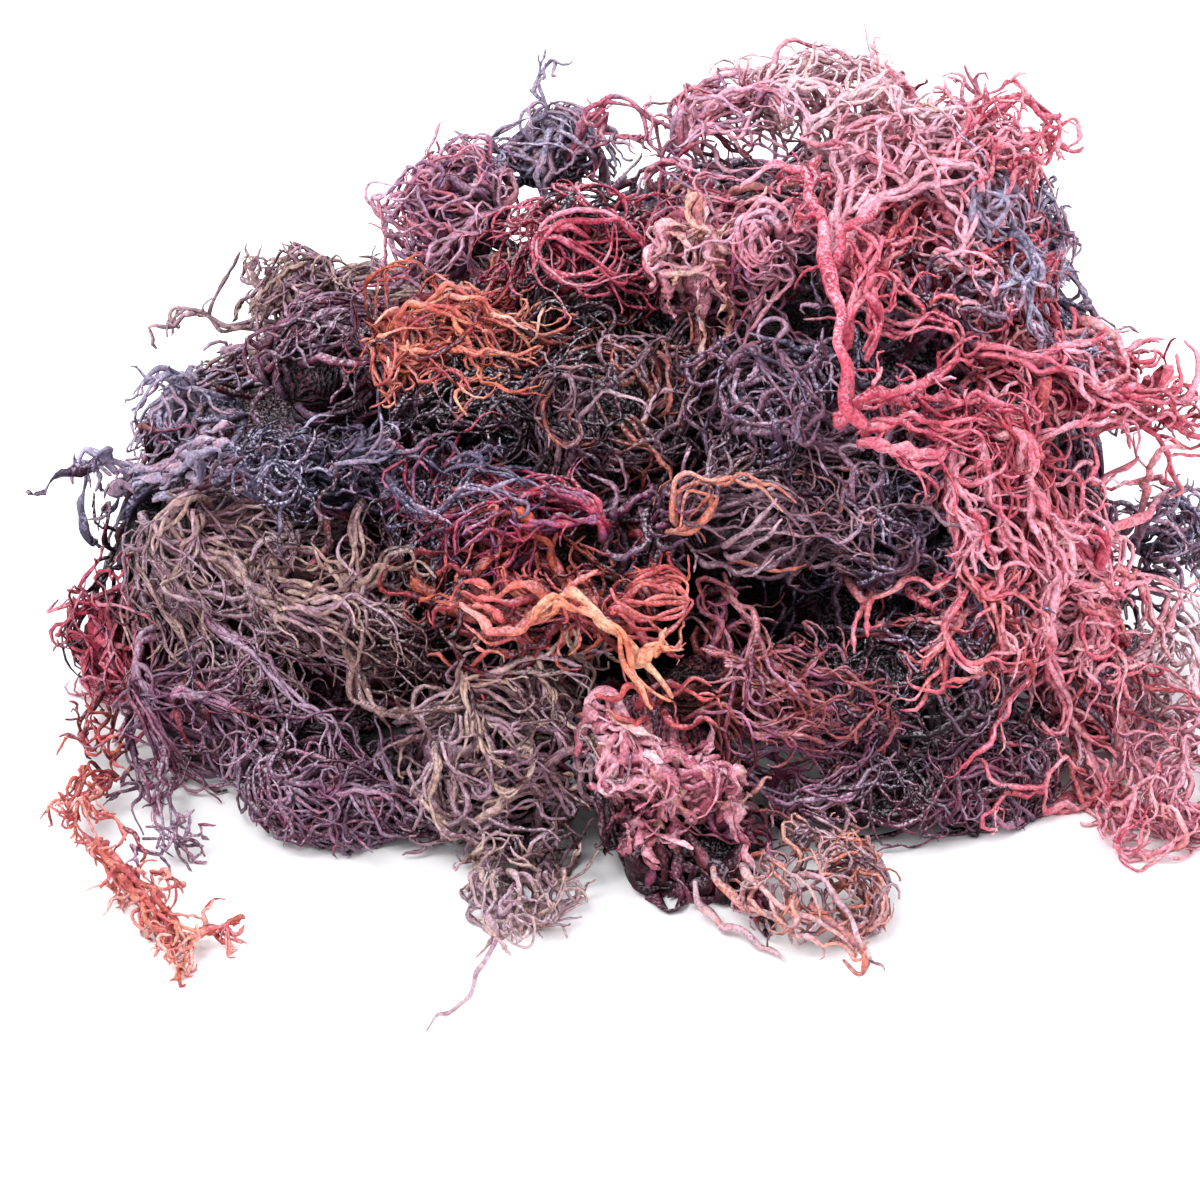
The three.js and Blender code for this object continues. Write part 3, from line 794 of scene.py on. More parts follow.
# Painted shade and highlight: the wrinkle noise, which is also the bump's height, darkens the colour in its
# hollows and lightens it on its crests.
shade = math_node(wrinkles_and_shade, "MULTIPLY", remap(wrinkles_and_shade, blotch, 0.3, 0.68, 0.66, 1.06),
                  remap(wrinkles_and_shade, wrinkle, 0.36, 0.62, 0.66, 1.24))
wrinkles_and_shade.links.new(shade, wrinkles_and_shade_out.inputs["Shade"])
wrinkles_and_shade.links.new(wrinkle, wrinkles_and_shade_out.inputs["Height"])

# Branches matted together in a tuft's heart: wavering ridges side by side, which run two ways in patches,
# with painted shade in the grooves between them.
mat, mat_in, mat_out = group("matted_branches", {"Ridges": 185.0}, ["Shade", "Height"])
place = place_in(mat)
across, upright = (
    wired(mat, "ShaderNodeTexWave", {"bands_direction": axis}, Vector=place, Scale=mat_in.outputs["Ridges"],
          Distortion=13.0, Detail=3.0, Detail_Scale=0.7).outputs["Fac"]
    for axis in "XZ"
)
patch = remap(mat, cloud(mat, place, 70.0, 2.0), 0.46, 0.54)
ridge = wired(mat, "ShaderNodeMix", i0=patch, i2=across, i3=upright).outputs[0]
mat.links.new(remap(mat, ridge, 0.2, 0.8, 0.16, 1.0), mat_out.inputs["Shade"])
mat.links.new(ridge, mat_out.inputs["Height"])


SHEEN = 0.22  # dried fronds throw back less of the light than a hard gloss


def palette(tree, tone, codes):
    """The colour at that tone on a ramp of evenly spaced colours, from dark to light."""
    ramp = wired(tree, "ShaderNodeValToRGB", Fac=tone)
    stops = ramp.color_ramp.elements
    colours = [linear(code) for code in codes.split()]
    while len(stops) < len(colours):
        stops.new(0.5)
    for k, colour in enumerate(colours):
        stops[k].position = k / (len(colours) - 1)
        stops[k].color = colour
    return ramp.outputs["Color"]


def mixed(tree, share, colour, other):
    """Two colours mixed, the other by the share."""
    return wired(tree, "ShaderNodeMix", {"data_type": "RGBA"}, i0=share, i6=colour, i7=other).outputs[2]


def frond_material(name, own, other, salt_and_glint_amount, salt_and_glint_colour="cfc3cf", gloss=0.5, glow=0.0):
    """Dried frond: a strand's tone, shifted along it by a slow noise, picks its colour from dark to light
    on its own palette and the other, and its tint mixes them. Deep parts are darker, as painted shade
    where little light reaches. Blotches vary the colour, and the wrinkles are painted darker in their
    hollows and lighter on their crests, as painted shade and highlight. Salt lies on the upper sides,
    and with it painted highlights; both show only where the light reaches."""
    material = bpy.data.materials.new(name)
    material.use_nodes = True
    tree = material.node_tree
    shader = tree.nodes["Principled BSDF"]
    along, tone, tint, light_reach = (
        wired(tree, "ShaderNodeAttribute", {"attribute_name": kind}).outputs["Fac"] for kind in KINDS
    )
    place = place_in(tree)
    drift = remap(tree, cloud(tree, place, 100.0, 5.0, 0.62), 0.3, 0.7, -0.28, 0.28)
    stain = math_node(tree, "MULTIPLY_ADD", cloud(tree, place, 170.0, 5.0, 0.68), 2.2, -1.1)
    tipward = math_node(tree, "MULTIPLY_ADD", along, 0.12, drift)
    tone = math_node(tree, "ADD", tone, tipward, clamp=True)
    tint = remap(tree, math_node(tree, "ADD", tint, stain), 0.25, 0.75)
    body = mixed(tree, tint, palette(tree, tone, own), palette(tree, tone, other))
    surface = wired(tree, "ShaderNodeGroup", {"node_tree": wrinkles_and_shade})
    fibres = wired(tree, "ShaderNodeGroup", {"node_tree": mat})
    # Painted shade: the colour falls to 0.4 of itself where no light reaches, deep in the heap.
    deep = remap(tree, light_reach, 0.0, 0.6, 0.4, 1.0)
    matted = math_node(tree, "LESS_THAN", along, MATTED / 2)
    level = math_node(tree, "MULTIPLY", surface.outputs["Shade"], deep)
    # Painted shade in the grooves of a heart's matted branches.
    groove_shaded = math_node(tree, "MULTIPLY", level, fibres.outputs["Shade"])
    level = wired(tree, "ShaderNodeMix", i0=matted, i2=level, i3=groove_shaded).outputs[0]
    body = wired(tree, "ShaderNodeVectorMath", {"operation": "SCALE"}, i0=body, Scale=level).outputs[0]
    salt_glint_mask = wired(tree, "ShaderNodeGroup", {"node_tree": salt_and_glint}, Amount=salt_and_glint_amount).outputs["Mask"]
    # Salt and its painted highlights show only where the light reaches.
    salt_glint_mask = math_node(tree, "MULTIPLY", salt_glint_mask, deep)
    tree.links.new(mixed(tree, salt_glint_mask, body, linear(salt_and_glint_colour)), shader.inputs["Base Color"])
    rough = remap(tree, deep, 0.0, 1.0, 1.0, remap(tree, salt_glint_mask, 0.0, 1.0, gloss, 0.85))
    tree.links.new(rough, shader.inputs["Roughness"])
    shader.inputs["Specular IOR Level"].default_value = SHEEN
    bump = wired(tree, "ShaderNodeBump", Height=fibres.outputs["Height"], Strength=matted, Distance=0.003)
    bump = wired(tree, "ShaderNodeBump", Height=surface.outputs["Height"], Strength=0.8, Distance=0.0011,
                 Normal=bump.outputs["Normal"])
    tree.links.new(bump.outputs["Normal"], shader.inputs["Normal"])
    if glow:
        shader.inputs["Subsurface Weight"].default_value = glow
        shader.inputs["Subsurface Scale"].default_value = 0.002
    return material


finish = {
    "plum": frond_material(
        "plum_frond", "1b0d17 3b2232 5e4155 7e5e76 a5879f",
        "240d16 551f33 7c3c52 975473 b27992", 0.9),
    "maroon": frond_material(
        "maroon_frond", "1d0a14 471a2c 76364e 954f6f b27297",
        "240b12 5a1f22 8b3f3e a85b5d c1828f", 0.6),
}
for node, slot, nature, look in [
    ("bed_right_tuft", "plum", CURLY, dict(
        heading=-30, tone=0.4, tint=0.4, cover=0.38, stalk_tone=0.5, stalk_tint=0.4, plies=2,
        stalks=[(1.0, 0, (868, 352), (884, 336), (900, 322), (918, 312), (938, 306)),
                (0.9, 0, (880, 300), (892, 316), (906, 334), (922, 348), (940, 352)),
                (0.9, 1, (905, 290), (915, 306), (930, 318), (948, 322), (960, 312)),
                (0.9, 1, (890, 345), (908, 352), (926, 340), (936, 326), (926, 312), (910, 316)),
                (1.0, 0, (606, 545), (618, 526), (632, 510), (650, 500), (668, 504)),
                (0.9, 0, (612, 492), (626, 506), (640, 522), (654, 538), (668, 546)),
                (0.9, 1, (600, 510), (616, 516), (632, 530), (640, 546), (632, 558)),
                (0.9, 1, (640, 486), (648, 500), (644, 516), (654, 528), (668, 524)),
                (0.9, 0, (836, 566), (852, 574), (870, 572), (886, 582), (900, 596)),
                (0.9, 0, (845, 600), (860, 590), (878, 594), (892, 606))])),
    ("bed_left_tuft", "maroon", CURLY, dict(heading=-35, tone=0.4, cover=0.26)),
]:
    piece(tuft(node, {**nature, **THICK}, **look), slot)


# The far side: seven tufts that close the heap behind, where the view doesn't reach.
# They are plants of the same kinds as in front, in plum, rose, olive, slate, brown and maroon, and they grew
# and dried like them.

finish["rose"] = frond_material(
    "rose_frond", "451321 95384f bd6074 d88296 eeaabb",
    "32172f 613959 8b5f87 b98ea3 dfafcb", 0.45, salt_and_glint_colour="e6c8dc", glow=0.06)
finish["slate"] = frond_material(
    "slate_frond", "0d0b13 241e2f 443b53 685e79 9c92ad",
    "1e0f19 462839 6f475a 946a7e b990a4", 0.9, salt_and_glint_colour="d8d0ef", gloss=0.42)
finish["olive"] = frond_material(
    "olive_frond", "31141a 583236 7c5a5a a07c74 c6a599",
    "31141f 583140 75515f 94707f b792a3", 0.85)
finish["brown"] = frond_material(
    "brown_frond", "1f0f18 442b38 6c4b59 98727f cfa5b3",
    "3d1614 76352b aa5848 cb7665 e69f91", 0.85)
for node, slot, nature, look in [
    ("back_top_tuft", "plum", CURLY, dict(heading=20, tone=0.5, cover=1.1)),
    ("back_rose_tuft", "rose", WEBBED, dict(heading=-40, fan=0.6, tone=0.45)),
    ("back_left_tuft", "olive", COMBED, dict(heading=-150, tone=0.55, cover=1.1)),
    ("back_right_tuft", "slate", CURLY, dict(heading=-60, tone=0.6, tint=0.5, cover=1.1)),
    ("back_low_left_tuft", "plum", CURLY, dict(heading=-120, tone=0.5, tint=0.5, cover=0.9)),
    ("back_low_middle_tuft", "brown", COMBED, dict(heading=-90, tone=0.55)),
    ("back_low_right_tuft", "maroon", WEBBED, dict(heading=-70, tone=0.5, cover=0.8)),
]:
    piece(tuft(node, {**nature, **THICK}, **look), slot)


# The foot: the lowest plants in front, and the fronds that trail out over the surface from under them.
# Mauve, plum and olive wads lie at the front edge, a pale blush plant with broad blades and a maroon one
# hang over it, and an orange-red frond, a grey looped one and an olive one lie flat on the surface.

FREE = {
    **AIRY, "branch": (0.55, 9, 8, 4), "twig": (0.42, 5, 5, 3), "bend": 0.1, "wave": 0.45, "beat": 7,
    "curl": 0.9, "tilt": 1.5, "kink": 0.25, "follow": 0.03, "cling": 0.0, "lock": 1,
}


def falling(points, normal):
    """The flow of a free frond, whose branches hang down until they lie on the surface."""
    return np.tile([0.0, 0, -1], (len(points), 1))


FADED = 60  # how far from its root a frond has its full colour


def frond(node, stalks, tone, tint=0.2, branches=0.2, twigs=0.3, spread=1.2, scale=1.0, nature=FREE, plies=2,
          fading=0.0):
    """Grows a plant that lies free: its stalks, and so many branches and twigs to a millimetre of them. Its
    root, where the first stalk starts, is darker than its far end by the fading."""
    rng = np.random.default_rng(list(node.encode()))
    plant = Plant(node)
    path = stalk(plant, nature, stalks, plies, falling, (tone, tone), (tint, tint), 0, rng)[0]
    length = length_of(path) / plies
    sides = shoots([path], int(branches * length), 0.05, 1.0, spread, rng)
    side = creep(plant, nature, "branch", *sides, falling, tone + 0.05, tint, rng, scale)
    tips = shoots([path, side, side], int(twigs * length), 0.1, 1.0, spread, rng)
    creep(plant, nature, "twig", *tips, falling, tone + 0.1, tint, rng, scale)
    for points, _, _, _, tones, _, _ in plant.parts:
        reach = np.linalg.norm(points - path[0, 0], axis=1)
        tones -= fading * np.clip(1 - reach / FADED, 0, 1)
    return plant


finish["orange"] = frond_material(
    "orange_frond", "471510 8b3928 c05d47 de8567 f4ba9c",
    "4e1520 953740 c25658 dc7d76 efaea5", 0.4, salt_and_glint_colour="ead2eb", glow=0.06)
finish["coral"] = frond_material(
    "coral_frond", "4e0f1c 9a2d42 c24a60 dd6e82 f2a0b2",
    "58151d ac4547 ce6669 e38a8f f8b6bb", 0.55, salt_and_glint_colour="f2daf2", gloss=0.48, glow=0.08)
finish["blush"] = frond_material(
    "blush_frond", "4c1926 a65267 ce7c8f e5a3b3 f8cad6",
    "542722 a8685d d29585 e7b6a9 fad0d6", 0.45, salt_and_glint_colour="f4e2fa", gloss=0.48, glow=0.08)
finish["raspberry"] = frond_material(
    "raspberry_frond", "2c0a15 741a30 a8324a c9566c e08fa2",
    "2a1124 562947 7c476b a26e99 c599c4", 0.75)
for node, slot, nature, look in [
    ("mauve_low_wad", "plum", COMBED, dict(
        heading=-38, tone=0.74, tint=0.45, cover=1.1,
        stalks=[(1.3, 3, (141, 632), (135, 655), (146, 685), (158, 706)),
                (1.3, 3, (166, 698), (192, 693), (226, 705), (250, 718)),
                (1.2, 3, (192, 609), (229, 636), (261, 662), (284, 688), (307, 711), (330, 728),
                 (334, 752))])),
    ("plum_low_left", "plum", CURLY, dict(heading=-25, tone=0.54, tint=0.3)),
    ("plum_low_right", "plum", COMBED, dict(
        heading=12, wander=1.0, tone=0.46, tint=0.45, cover=1.1, plies=2,
        stalks=[(1.2, 4, (735, 752), (760, 768), (790, 776), (825, 782)),
                (1.2, 4, (742, 775), (768, 792), (800, 800), (835, 806)),
                (1.2, 4, (770, 735), (775, 760), (782, 785), (772, 810)),
                (1.1, 4, (750, 760), (775, 745), (800, 748), (822, 762))])),
    ("olive_net", "olive", WEBBED, dict(
        heading=-60, wander=1.4, tone=0.6, tint=0.6, cover=1.1, scale=0.8, stalk_tone=0.84,
        stalk_tint=0.05,
        stalks=[(1.1, 4, (455, 668), (463, 682), (474, 716), (491, 741), (512, 757)),
                (1.0, 4, (463, 684), (481, 678), (503, 676), (520, 690)),
                (1.0, 4, (512, 757), (528, 745), (530, 770), (516, 788), (498, 782), (492, 760)),
                (1.0, 4, (430, 745), (438, 770), (430, 800), (445, 828), (470, 832)),
                (1.0, 4, (520, 655), (538, 668), (552, 690), (560, 715)),
                (0.9, 4, (566, 640), (580, 656), (590, 676), (584, 700)),
                (0.9, 4, (600, 655), (588, 672), (568, 680), (548, 676))])),
    ("olive_droop", "olive", KNOTTED, dict(
        heading=-90, tone=0.9, tint=0.6, cover=0.7, depth=None, scale=0.8, stalk_tone=0.85, plies=2,
        parting=0.5, forking=0,
        stalks=[(0.9, 2.5, (490, 862), (484, 880), (487, 900), (484, 918), (492, 930), (503, 932),
                 (508, 920), (520, 918), (530, 925), (522, 940), (514, 946), (508, 935)),
                (0.9, 2.5, (520, 868), (532, 880), (540, 895), (548, 915), (540, 922), (528, 918)),
                (0.9, 2.5, (545, 865), (542, 880), (552, 890), (556, 880), (548, 872)),
                (0.9, 2.5, (568, 868), (562, 885), (553, 900), (548, 912))],
        ribs=[(0.7, 3, (500, 885), (506, 895), (512, 905), (505, 912), (498, 904), (502, 894),
               (510, 890)),
              (0.7, 3, (505, 862), (515, 880), (522, 895), (516, 908)),
              (0.6, 1.4, (504, 932), (495, 945), (482, 965), (472, 985), (465, 1003), (450, 1012),
               (438, 1022), (428, 1032)),
              (0.5, 1.4, (500, 942), (504, 952), (510, 958))])),
    ("maroon_lobe", "maroon", BLADED, dict(heading=-70, tone=0.24, tint=0.1)),
    ("blush_tuft", "blush", BLADED, dict(
        heading=-60, tone=0.36, tint=0.1, cover=1.15, depth=3.5, scale=0.6, stalk_tone=0.6, stalk_tint=0.0,
        stalks=[(1.6, 4, (588, 716), (596, 700), (612, 700), (622, 714), (614, 730), (598, 730)),
                (1.9, 4, (603, 735), (605, 750), (610, 770), (616, 788)),
                (1.4, 4, (628, 735), (640, 758), (656, 776), (674, 790)),
                (1.5, 5, (680, 782), (690, 770), (705, 762), (722, 770), (730, 784), (722, 794)),
                (1.2, 5, (690, 790), (702, 782), (714, 786)),
                (1.2, 4, (640, 738), (656, 752), (660, 772), (646, 784), (634, 772))])),
    ("coral_tipped_spill", "brown", KNOTTED, dict(
        heading=-30, tone=0.78, tint=0.4, cover=0.8, depth=None, scale=0.8, stalk_tone=0.75,
        stalk_tint=0.75, plies=2, parting=0.4, forking=0.5,
        stalks=[(1.0, 4, (750, 850), (768, 858), (783, 872), (795, 887), (796, 902), (785, 916),
                 (772, 925)),
                (0.9, 4, (753, 880), (745, 896), (752, 911), (768, 918), (783, 921)),
                (0.8, 5, (757, 856), (771, 866), (768, 881), (752, 886))],
        ribs=[(0.9, 3, (800, 868), (820, 884), (836, 904), (850, 924), (862, 944), (869, 960)),
              (0.9, 3, (838, 930), (852, 940), (866, 950), (872, 964), (858, 972), (845, 960)),
              (0.8, 3, (806, 900), (820, 915), (838, 922), (852, 938)),
              (0.9, 3, (690, 898), (716, 917), (742, 934), (762, 948), (776, 956)),
              (0.9, 3, (712, 880), (742, 902), (776, 922), (812, 938), (846, 950), (870, 962)),
              (0.8, 4, (735, 862), (760, 884), (790, 908), (822, 926), (850, 948))])),
]:
    piece(tuft(node, nature, **look), slot)

piece(frond("trailing_frond", [
    (1.0, 2, (112, 668), (97, 698), (84, 722), (79, 738), (88, 751), (98, 741), (92, 728), (83, 732)),
    (0.7, 1.5, (87, 752), (85, 768), (76, 785), (64, 799), (62, 811), (67, 818)),
    (1.1, 2, (108, 688), (113, 712), (108, 738), (108, 762)),
    (1.2, 2, (112, 765), (98, 772), (84, 785), (78, 800), (80, 820), (84, 842)),
    (0.9, 2, (100, 768), (109, 782), (98, 792), (89, 801), (97, 815), (112, 822), (130, 832)),
    (1.5, 2, (82, 838), (98, 850), (115, 862), (135, 876), (152, 893), (166, 912), (181, 925),
     (200, 922), (222, 922), (236, 916)),
    (1.3, 2, (84, 844), (104, 864), (122, 880), (140, 896), (157, 915), (172, 934), (176, 948)),
    (0.8, 1.5, (140, 864), (158, 871), (170, 885), (169, 901), (160, 908)),
    (0.9, 1.5, (112, 866), (115, 885), (125, 897), (133, 884)),
    (1.0, 1.5, (140, 890), (148, 905), (137, 918), (150, 925), (165, 935), (180, 930)),
    (1.0, 1.5, (168, 925), (178, 940), (168, 955), (160, 965)),
    (0.9, 1.5, (180, 932), (189, 946), (182, 959), (170, 960)),
    (0.9, 1.5, (200, 924), (212, 930), (222, 926), (229, 936), (236, 951)),
], tone=0.55, tint=0.7, fading=0.7), "orange")
piece(frond("grey_looped_frond", [
    (1.0, 2, (152, 670), (150, 704), (158, 735), (165, 768), (158, 799), (158, 822), (168, 842)),
    (1.0, 2, (154, 720), (140, 726), (129, 740), (132, 762), (144, 780), (140, 805), (148, 828)),
    (0.8, 2, (166, 772), (148, 786), (126, 788), (105, 795)),
    (0.7, 2, (118, 776), (135, 766), (150, 764), (166, 775)),
    (0.7, 2, (166, 776), (172, 800), (170, 825), (174, 845)),
    (0.6, 1.5, (124, 838), (140, 848), (158, 852), (160, 838), (152, 828)),
    (0.7, 2, (112, 705), (125, 697), (142, 700)),
    (0.6, 1.5, (168, 830), (180, 838), (185, 842)),
], tone=0.6, tint=0.3, branches=0.08, twigs=0.12), "plum")


# The middle: the plants that face the viewer between the foot and the crown.
# Long combed locks of grey and tan branches on the left, a ridge of tight salted knots over them, brown and
# slate swirls, a raspberry fan, an orange one on its own forked stem, orange arcs, and plum and maroon wads.

for node, slot, nature, look in [
    ("grey_fleece", "olive", COMBED, dict(
        heading=-36, fan=0.15, wander=0.5, tone=0.64, tint=0.65, cover=1.25, stalk_tone=0.8,
        stalk_tint=0.35,
        stalks=[(1.3, 4, (203, 485), (180, 503), (155, 528), (153, 554)),
                (1.3, 4, (215, 545), (242, 577), (261, 600), (290, 614), (320, 625), (343, 630)),
                (1.2, 4, (249, 558), (284, 581), (318, 595), (343, 600), (359, 614), (362, 632)),
                (1.3, 4, (228, 560), (262, 590), (300, 606), (335, 612)),
                (1.2, 4, (192, 500), (196, 530), (188, 560), (170, 590))])),
    ("olive_lock", "olive", COMBED, dict(
        heading=-20, fan=0.4, wander=0.6, tone=0.26, tint=0.3, cover=1.15, stalk_tone=0.58, stalk_tint=0.1,
        stalks=[(1.2, 4, (358, 503), (356, 545), (352, 588)),
                (1.4, 4, (352, 588), (368, 580), (384, 566), (400, 554), (418, 554), (438, 562)),
                (1.3, 4, (352, 588), (342, 575), (331, 563), (313, 558)),
                (1.2, 4, (340, 640), (356, 668), (362, 690), (388, 710), (433, 706), (455, 688))])),
    ("slate_ridge_tuft", "slate", {**KNOTTED, "height": 0.8}, dict(
        heading=5, wander=1.6, tone=0.44, tint=0.25, cover=1.15, scale=0.65, plies=2, parting=0.6,
        stalks=[(1.1, 5, (240, 492), (262, 474), (285, 462), (300, 478), (285, 496), (265, 494)),
                (1.1, 6, (330, 470), (352, 458), (378, 456), (404, 452), (428, 462)),
                (1.1, 6, (392, 470), (404, 500), (430, 512), (462, 500), (490, 486), (520, 492)),
                (1.0, 6, (440, 470), (470, 462), (500, 470), (528, 482), (540, 498))])),
    ("plum_hill", "plum", CURLY, dict(heading=20, tone=0.02, tint=0.1, cover=1.3)),
    ("brown_swirl", "brown", CURLY, dict(swirl=0.75, tone=0.38, tint=0.2, cover=1.3)),
    ("slate_swirl", "slate", WEBBED, dict(
        heading=-60, swirl=0.5, tone=0.46, tint=0.75, cover=1.1,
        stalks=[(1.1, 4, (722, 372), (735, 352), (755, 350), (768, 372), (788, 395), (800, 425)),
                (1.1, 4, (772, 358), (786, 356), (798, 375), (805, 400))])),
    ("raspberry_fan", "raspberry", COMBED, dict(
        heading=165, fan=0.5, wander=0.5, tone=0.3, tint=0.4, cover=1.15,
        stalks=[(1.2, 4, (608, 520), (569, 495), (543, 493), (509, 502), (474, 516), (461, 536)),
                (1.2, 4, (612, 528), (585, 520), (545, 525), (512, 528)),
                (1.2, 4, (607, 515), (590, 500), (560, 480), (535, 478))])),
    ("orange_fan", "orange", WEBBED, dict(
        heading=165, fan=0.8, wander=0.3, tone=0.29, tint=0.75, cover=0.9, scale=0.75, stalk_tone=0.8,
        stalk_tint=0.03, forking=0.1,
        stalks=[(2.1, 6, (520, 622), (534, 618), (548, 608), (564, 604), (582, 611), (601, 618),
                 (621, 631), (632, 652), (645, 680), (652, 704)),
                (1.6, 6, (640, 664), (651, 651), (664, 645), (674, 638))],
        ribs=[(1.3, 5, (560, 606), (534, 620), (509, 631), (490, 627), (474, 614), (462, 600)),
              (1.1, 5, (548, 608), (536, 594), (520, 588), (502, 592), (484, 590), (466, 580)),
              (1.0, 5, (530, 600), (512, 606), (496, 600), (480, 602), (464, 592)),
              (1.0, 5, (505, 628), (492, 612), (480, 604), (470, 606)),
              (1.1, 5, (575, 606), (568, 590), (578, 576), (596, 572)),
              (0.9, 5, (636, 700), (650, 684), (668, 682), (684, 694), (700, 704), (712, 698)),
              (0.9, 5, (652, 706), (640, 692), (624, 690), (612, 700), (600, 694)),
              (0.8, 5, (660, 708), (672, 722), (690, 726), (704, 716), (718, 720)),
              (0.8, 5, (648, 712), (634, 722), (616, 718), (604, 708)),
              (0.8, 5, (658, 700), (676, 690), (692, 678), (708, 680))]
             + [(0.62, 4, (606 + 3 * k, 617 - 4 * k), (630 + 2 * k, 636 - 8 * k), (662 + k, 635 - 8 * k),
                 (686 - abs(k - 4), 620 - 5 * k), (690 - 3 * k, 601 - 4 * k), (664 - 5 * k, 592 - 3 * k))
                for k in range(9)])),
    ("orange_arcs", "brown", COMBED, dict(
        heading=25, swirl=-0.4, wander=0.4, tone=0.44, tint=0.0, cover=1.1, stalk_tone=0.68,
        stalk_tint=0.9, plies=2, parting=0.6, forking=0.5,
        stalks=[(1.2, 6, (660, 530), (679, 534), (697, 525), (706, 511), (711, 497), (692, 495),
                 (683, 509), (681, 525)),
                (1.2, 6, (670, 525), (674, 500), (688, 484), (711, 477), (738, 479), (766, 488),
                 (791, 504))],
        ribs=[(0.8, 4, (727, 560), (745, 552), (765, 540), (784, 518)),
              (0.8, 4, (690, 568), (727, 572), (755, 566), (784, 560), (800, 543)),
              (0.75, 4, (720, 548), (742, 535), (760, 520), (768, 500))])),
    ("slate_curl", "slate", CURLY, dict(heading=-45, swirl=0.3, tone=0.48, tint=0.5)),
    ("red_wad", "maroon", COMBED, dict(
        heading=-15, wander=1.2, tone=0.62, tint=0.7, cover=1.1, scale=0.8, stalk_tone=0.8, stalk_tint=0.7,
        plies=2, forking=1.2,
        stalks=[(0.9, 4, (700, 640), (720, 655), (745, 660), (768, 650)),
                (0.9, 4, (705, 690), (730, 680), (755, 690), (775, 710)),
                (0.9, 4, (690, 720), (715, 705), (740, 715), (765, 730), (790, 725)),
                (1.0, 4, (728, 598), (750, 616), (756, 638), (742, 660), (722, 668)),
                (0.8, 4, (790, 690), (805, 675), (825, 670), (850, 676))])),
    ("plum_right_wad", "plum", CURLY, dict(heading=-60, tone=0.14, tint=0.2)),
]:
    piece(tuft(node, nature, **look), slot)


# The upper left: the plants on the left shoulder of the heap.
# Slate and olive horns stick out over its outline, with plum wads, a raspberry tuft and a pale salted ridge,
# and orange, magenta, brown and rose tufts lead up to the crown.

for node, slot, nature, look in [
    ("slate_knot", "slate", CURLY, dict(
        heading=80, wander=1.2, tone=1.15, tint=0.45, cover=1.1, scale=0.7, plies=2, parting=0.5,
        forking=0.35,
        stalks=[(1.1, None, (-20, 14, 124), (-23, 15, 130), (-18, 15, 136), (-20, 15, 143),
                 (-18, 15, 149))])),
    ("rose_brown_tuft", "rose", CURLY, dict(
        heading=150, wander=1.0, tone=0.66, tint=0.6, scale=0.8, forking=0.5,
        stalks=[(1.1, None, (-50, -6, 110), (-58, -8, 116), (-61, -8, 122), (-56, -8, 126)),
                (1.1, None, (-48, -8, 103), (-58, -10, 100), (-61, -10, 104))])),
    ("magenta_swirl", "raspberry", {**COMBED, "height": 0.8}, dict(
        swirl=0.85, wander=0.4, tone=0.5, tint=0.0, cover=1.1, scale=0.8, plies=2, forking=0.3,
        stalks=[(1.2, 6, *oval((588, 247), (52, 34), -0.5, 5.6, 10)),
                (1.1, 6, *oval((574, 250), (36, 26), 1, 7, 9)),
                (1.0, 7, (535, 232), (560, 240), (590, 258), (615, 276), (625, 262))])),
    ("orange_tuft", "orange", {**COMBED, "height": 0.8}, dict(
        heading=-12, wander=0.9, tone=0.5, tint=0.5, cover=1.3, scale=0.75, plies=2, forking=0.6,
        stalks=[(1.3, 5, (385, 330), (400, 312), (425, 305), (455, 308), (480, 322)),
                (1.2, 5, (395, 345), (420, 352), (450, 350), (480, 356), (510, 350), (540, 356)),
                (1.1, 5, (420, 300), (450, 292), (480, 300), (505, 318), (530, 330))])),
    ("brown_saddle", "brown", CURLY, dict(heading=20, tone=0.02, tint=0.25, cover=1.3)),
    ("olive_horn", "olive", CURLY, dict(
        heading=120, wander=1.2, tone=0.8, tint=0.6, cover=0.85, scale=0.75, forking=0.4,
        stalks=[(1.2, None, (-88, 0, 84), (-97, 0, 82), (-104, 0, 87), (-110, -1, 88), (-114, -2, 83)),
                (1.1, None, (-86, 2, 90), (-93, 3, 95), (-91, 4, 100))])),
    ("plum_shoulder", "plum", CURLY, dict(heading=30, tone=0.5, tint=0.45)),
    ("slate_horn", "slate", CURLY, dict(
        heading=150, tone=1.0, tint=0.4, cover=0.85, scale=0.75, forking=0.6,
        stalks=[(1.1, None, (-106, -10, 68), (-110, -10, 74), (-117, -11, 74), (-120, -12, 69))])),
    ("lavender_ridge", "slate", BLADED, dict(
        heading=175, tone=0.82, tint=0.3, cover=0.5, scale=0.7, stalk_tone=1.05, plies=2, parting=0.5,
        forking=0.5,
        stalks=[(2.0, 4, (215, 440), (198, 452), (178, 464), (158, 474)),
                (1.7, None, (-118, -24, 55), (-125, -25, 57.5), (-130, -25, 59), (-134, -26, 58),
                 (-136, -26, 54.5)),
                (1.2, None, (-130, -25, 58.5), (-131, -25, 55), (-130, -26, 51.5))])),
    ("plum_side_tuft", "plum", {**CURLY, "height": 0.5}, dict(heading=-100, tone=-0.12, tint=0.6)),
    ("raspberry_side_tuft", "raspberry", {**CURLY, "height": 1.0}, dict(
        heading=-80, tone=0.62, tint=-0.1, cover=1.3)),
]:
    piece(tuft(node, nature, **look), slot)

piece(frond("arched_strand", [
    (1.0, None, (-11, 10, 128), (-9, 10, 135), (-3, 10, 140.5), (4, 9, 138), (9, 8, 130), (10, 5, 119),
     (8, 0, 108)),
    (0.8, None, (-3, 10, 140), (-5, 9, 131), (-6, 8, 120)),
    (0.8, None, (-5, 9, 130), (2, 8, 132), (8, 8, 131)),
], tone=0.62, tint=0.3, branches=0.08, twigs=0.12, scale=0.7), "rose")


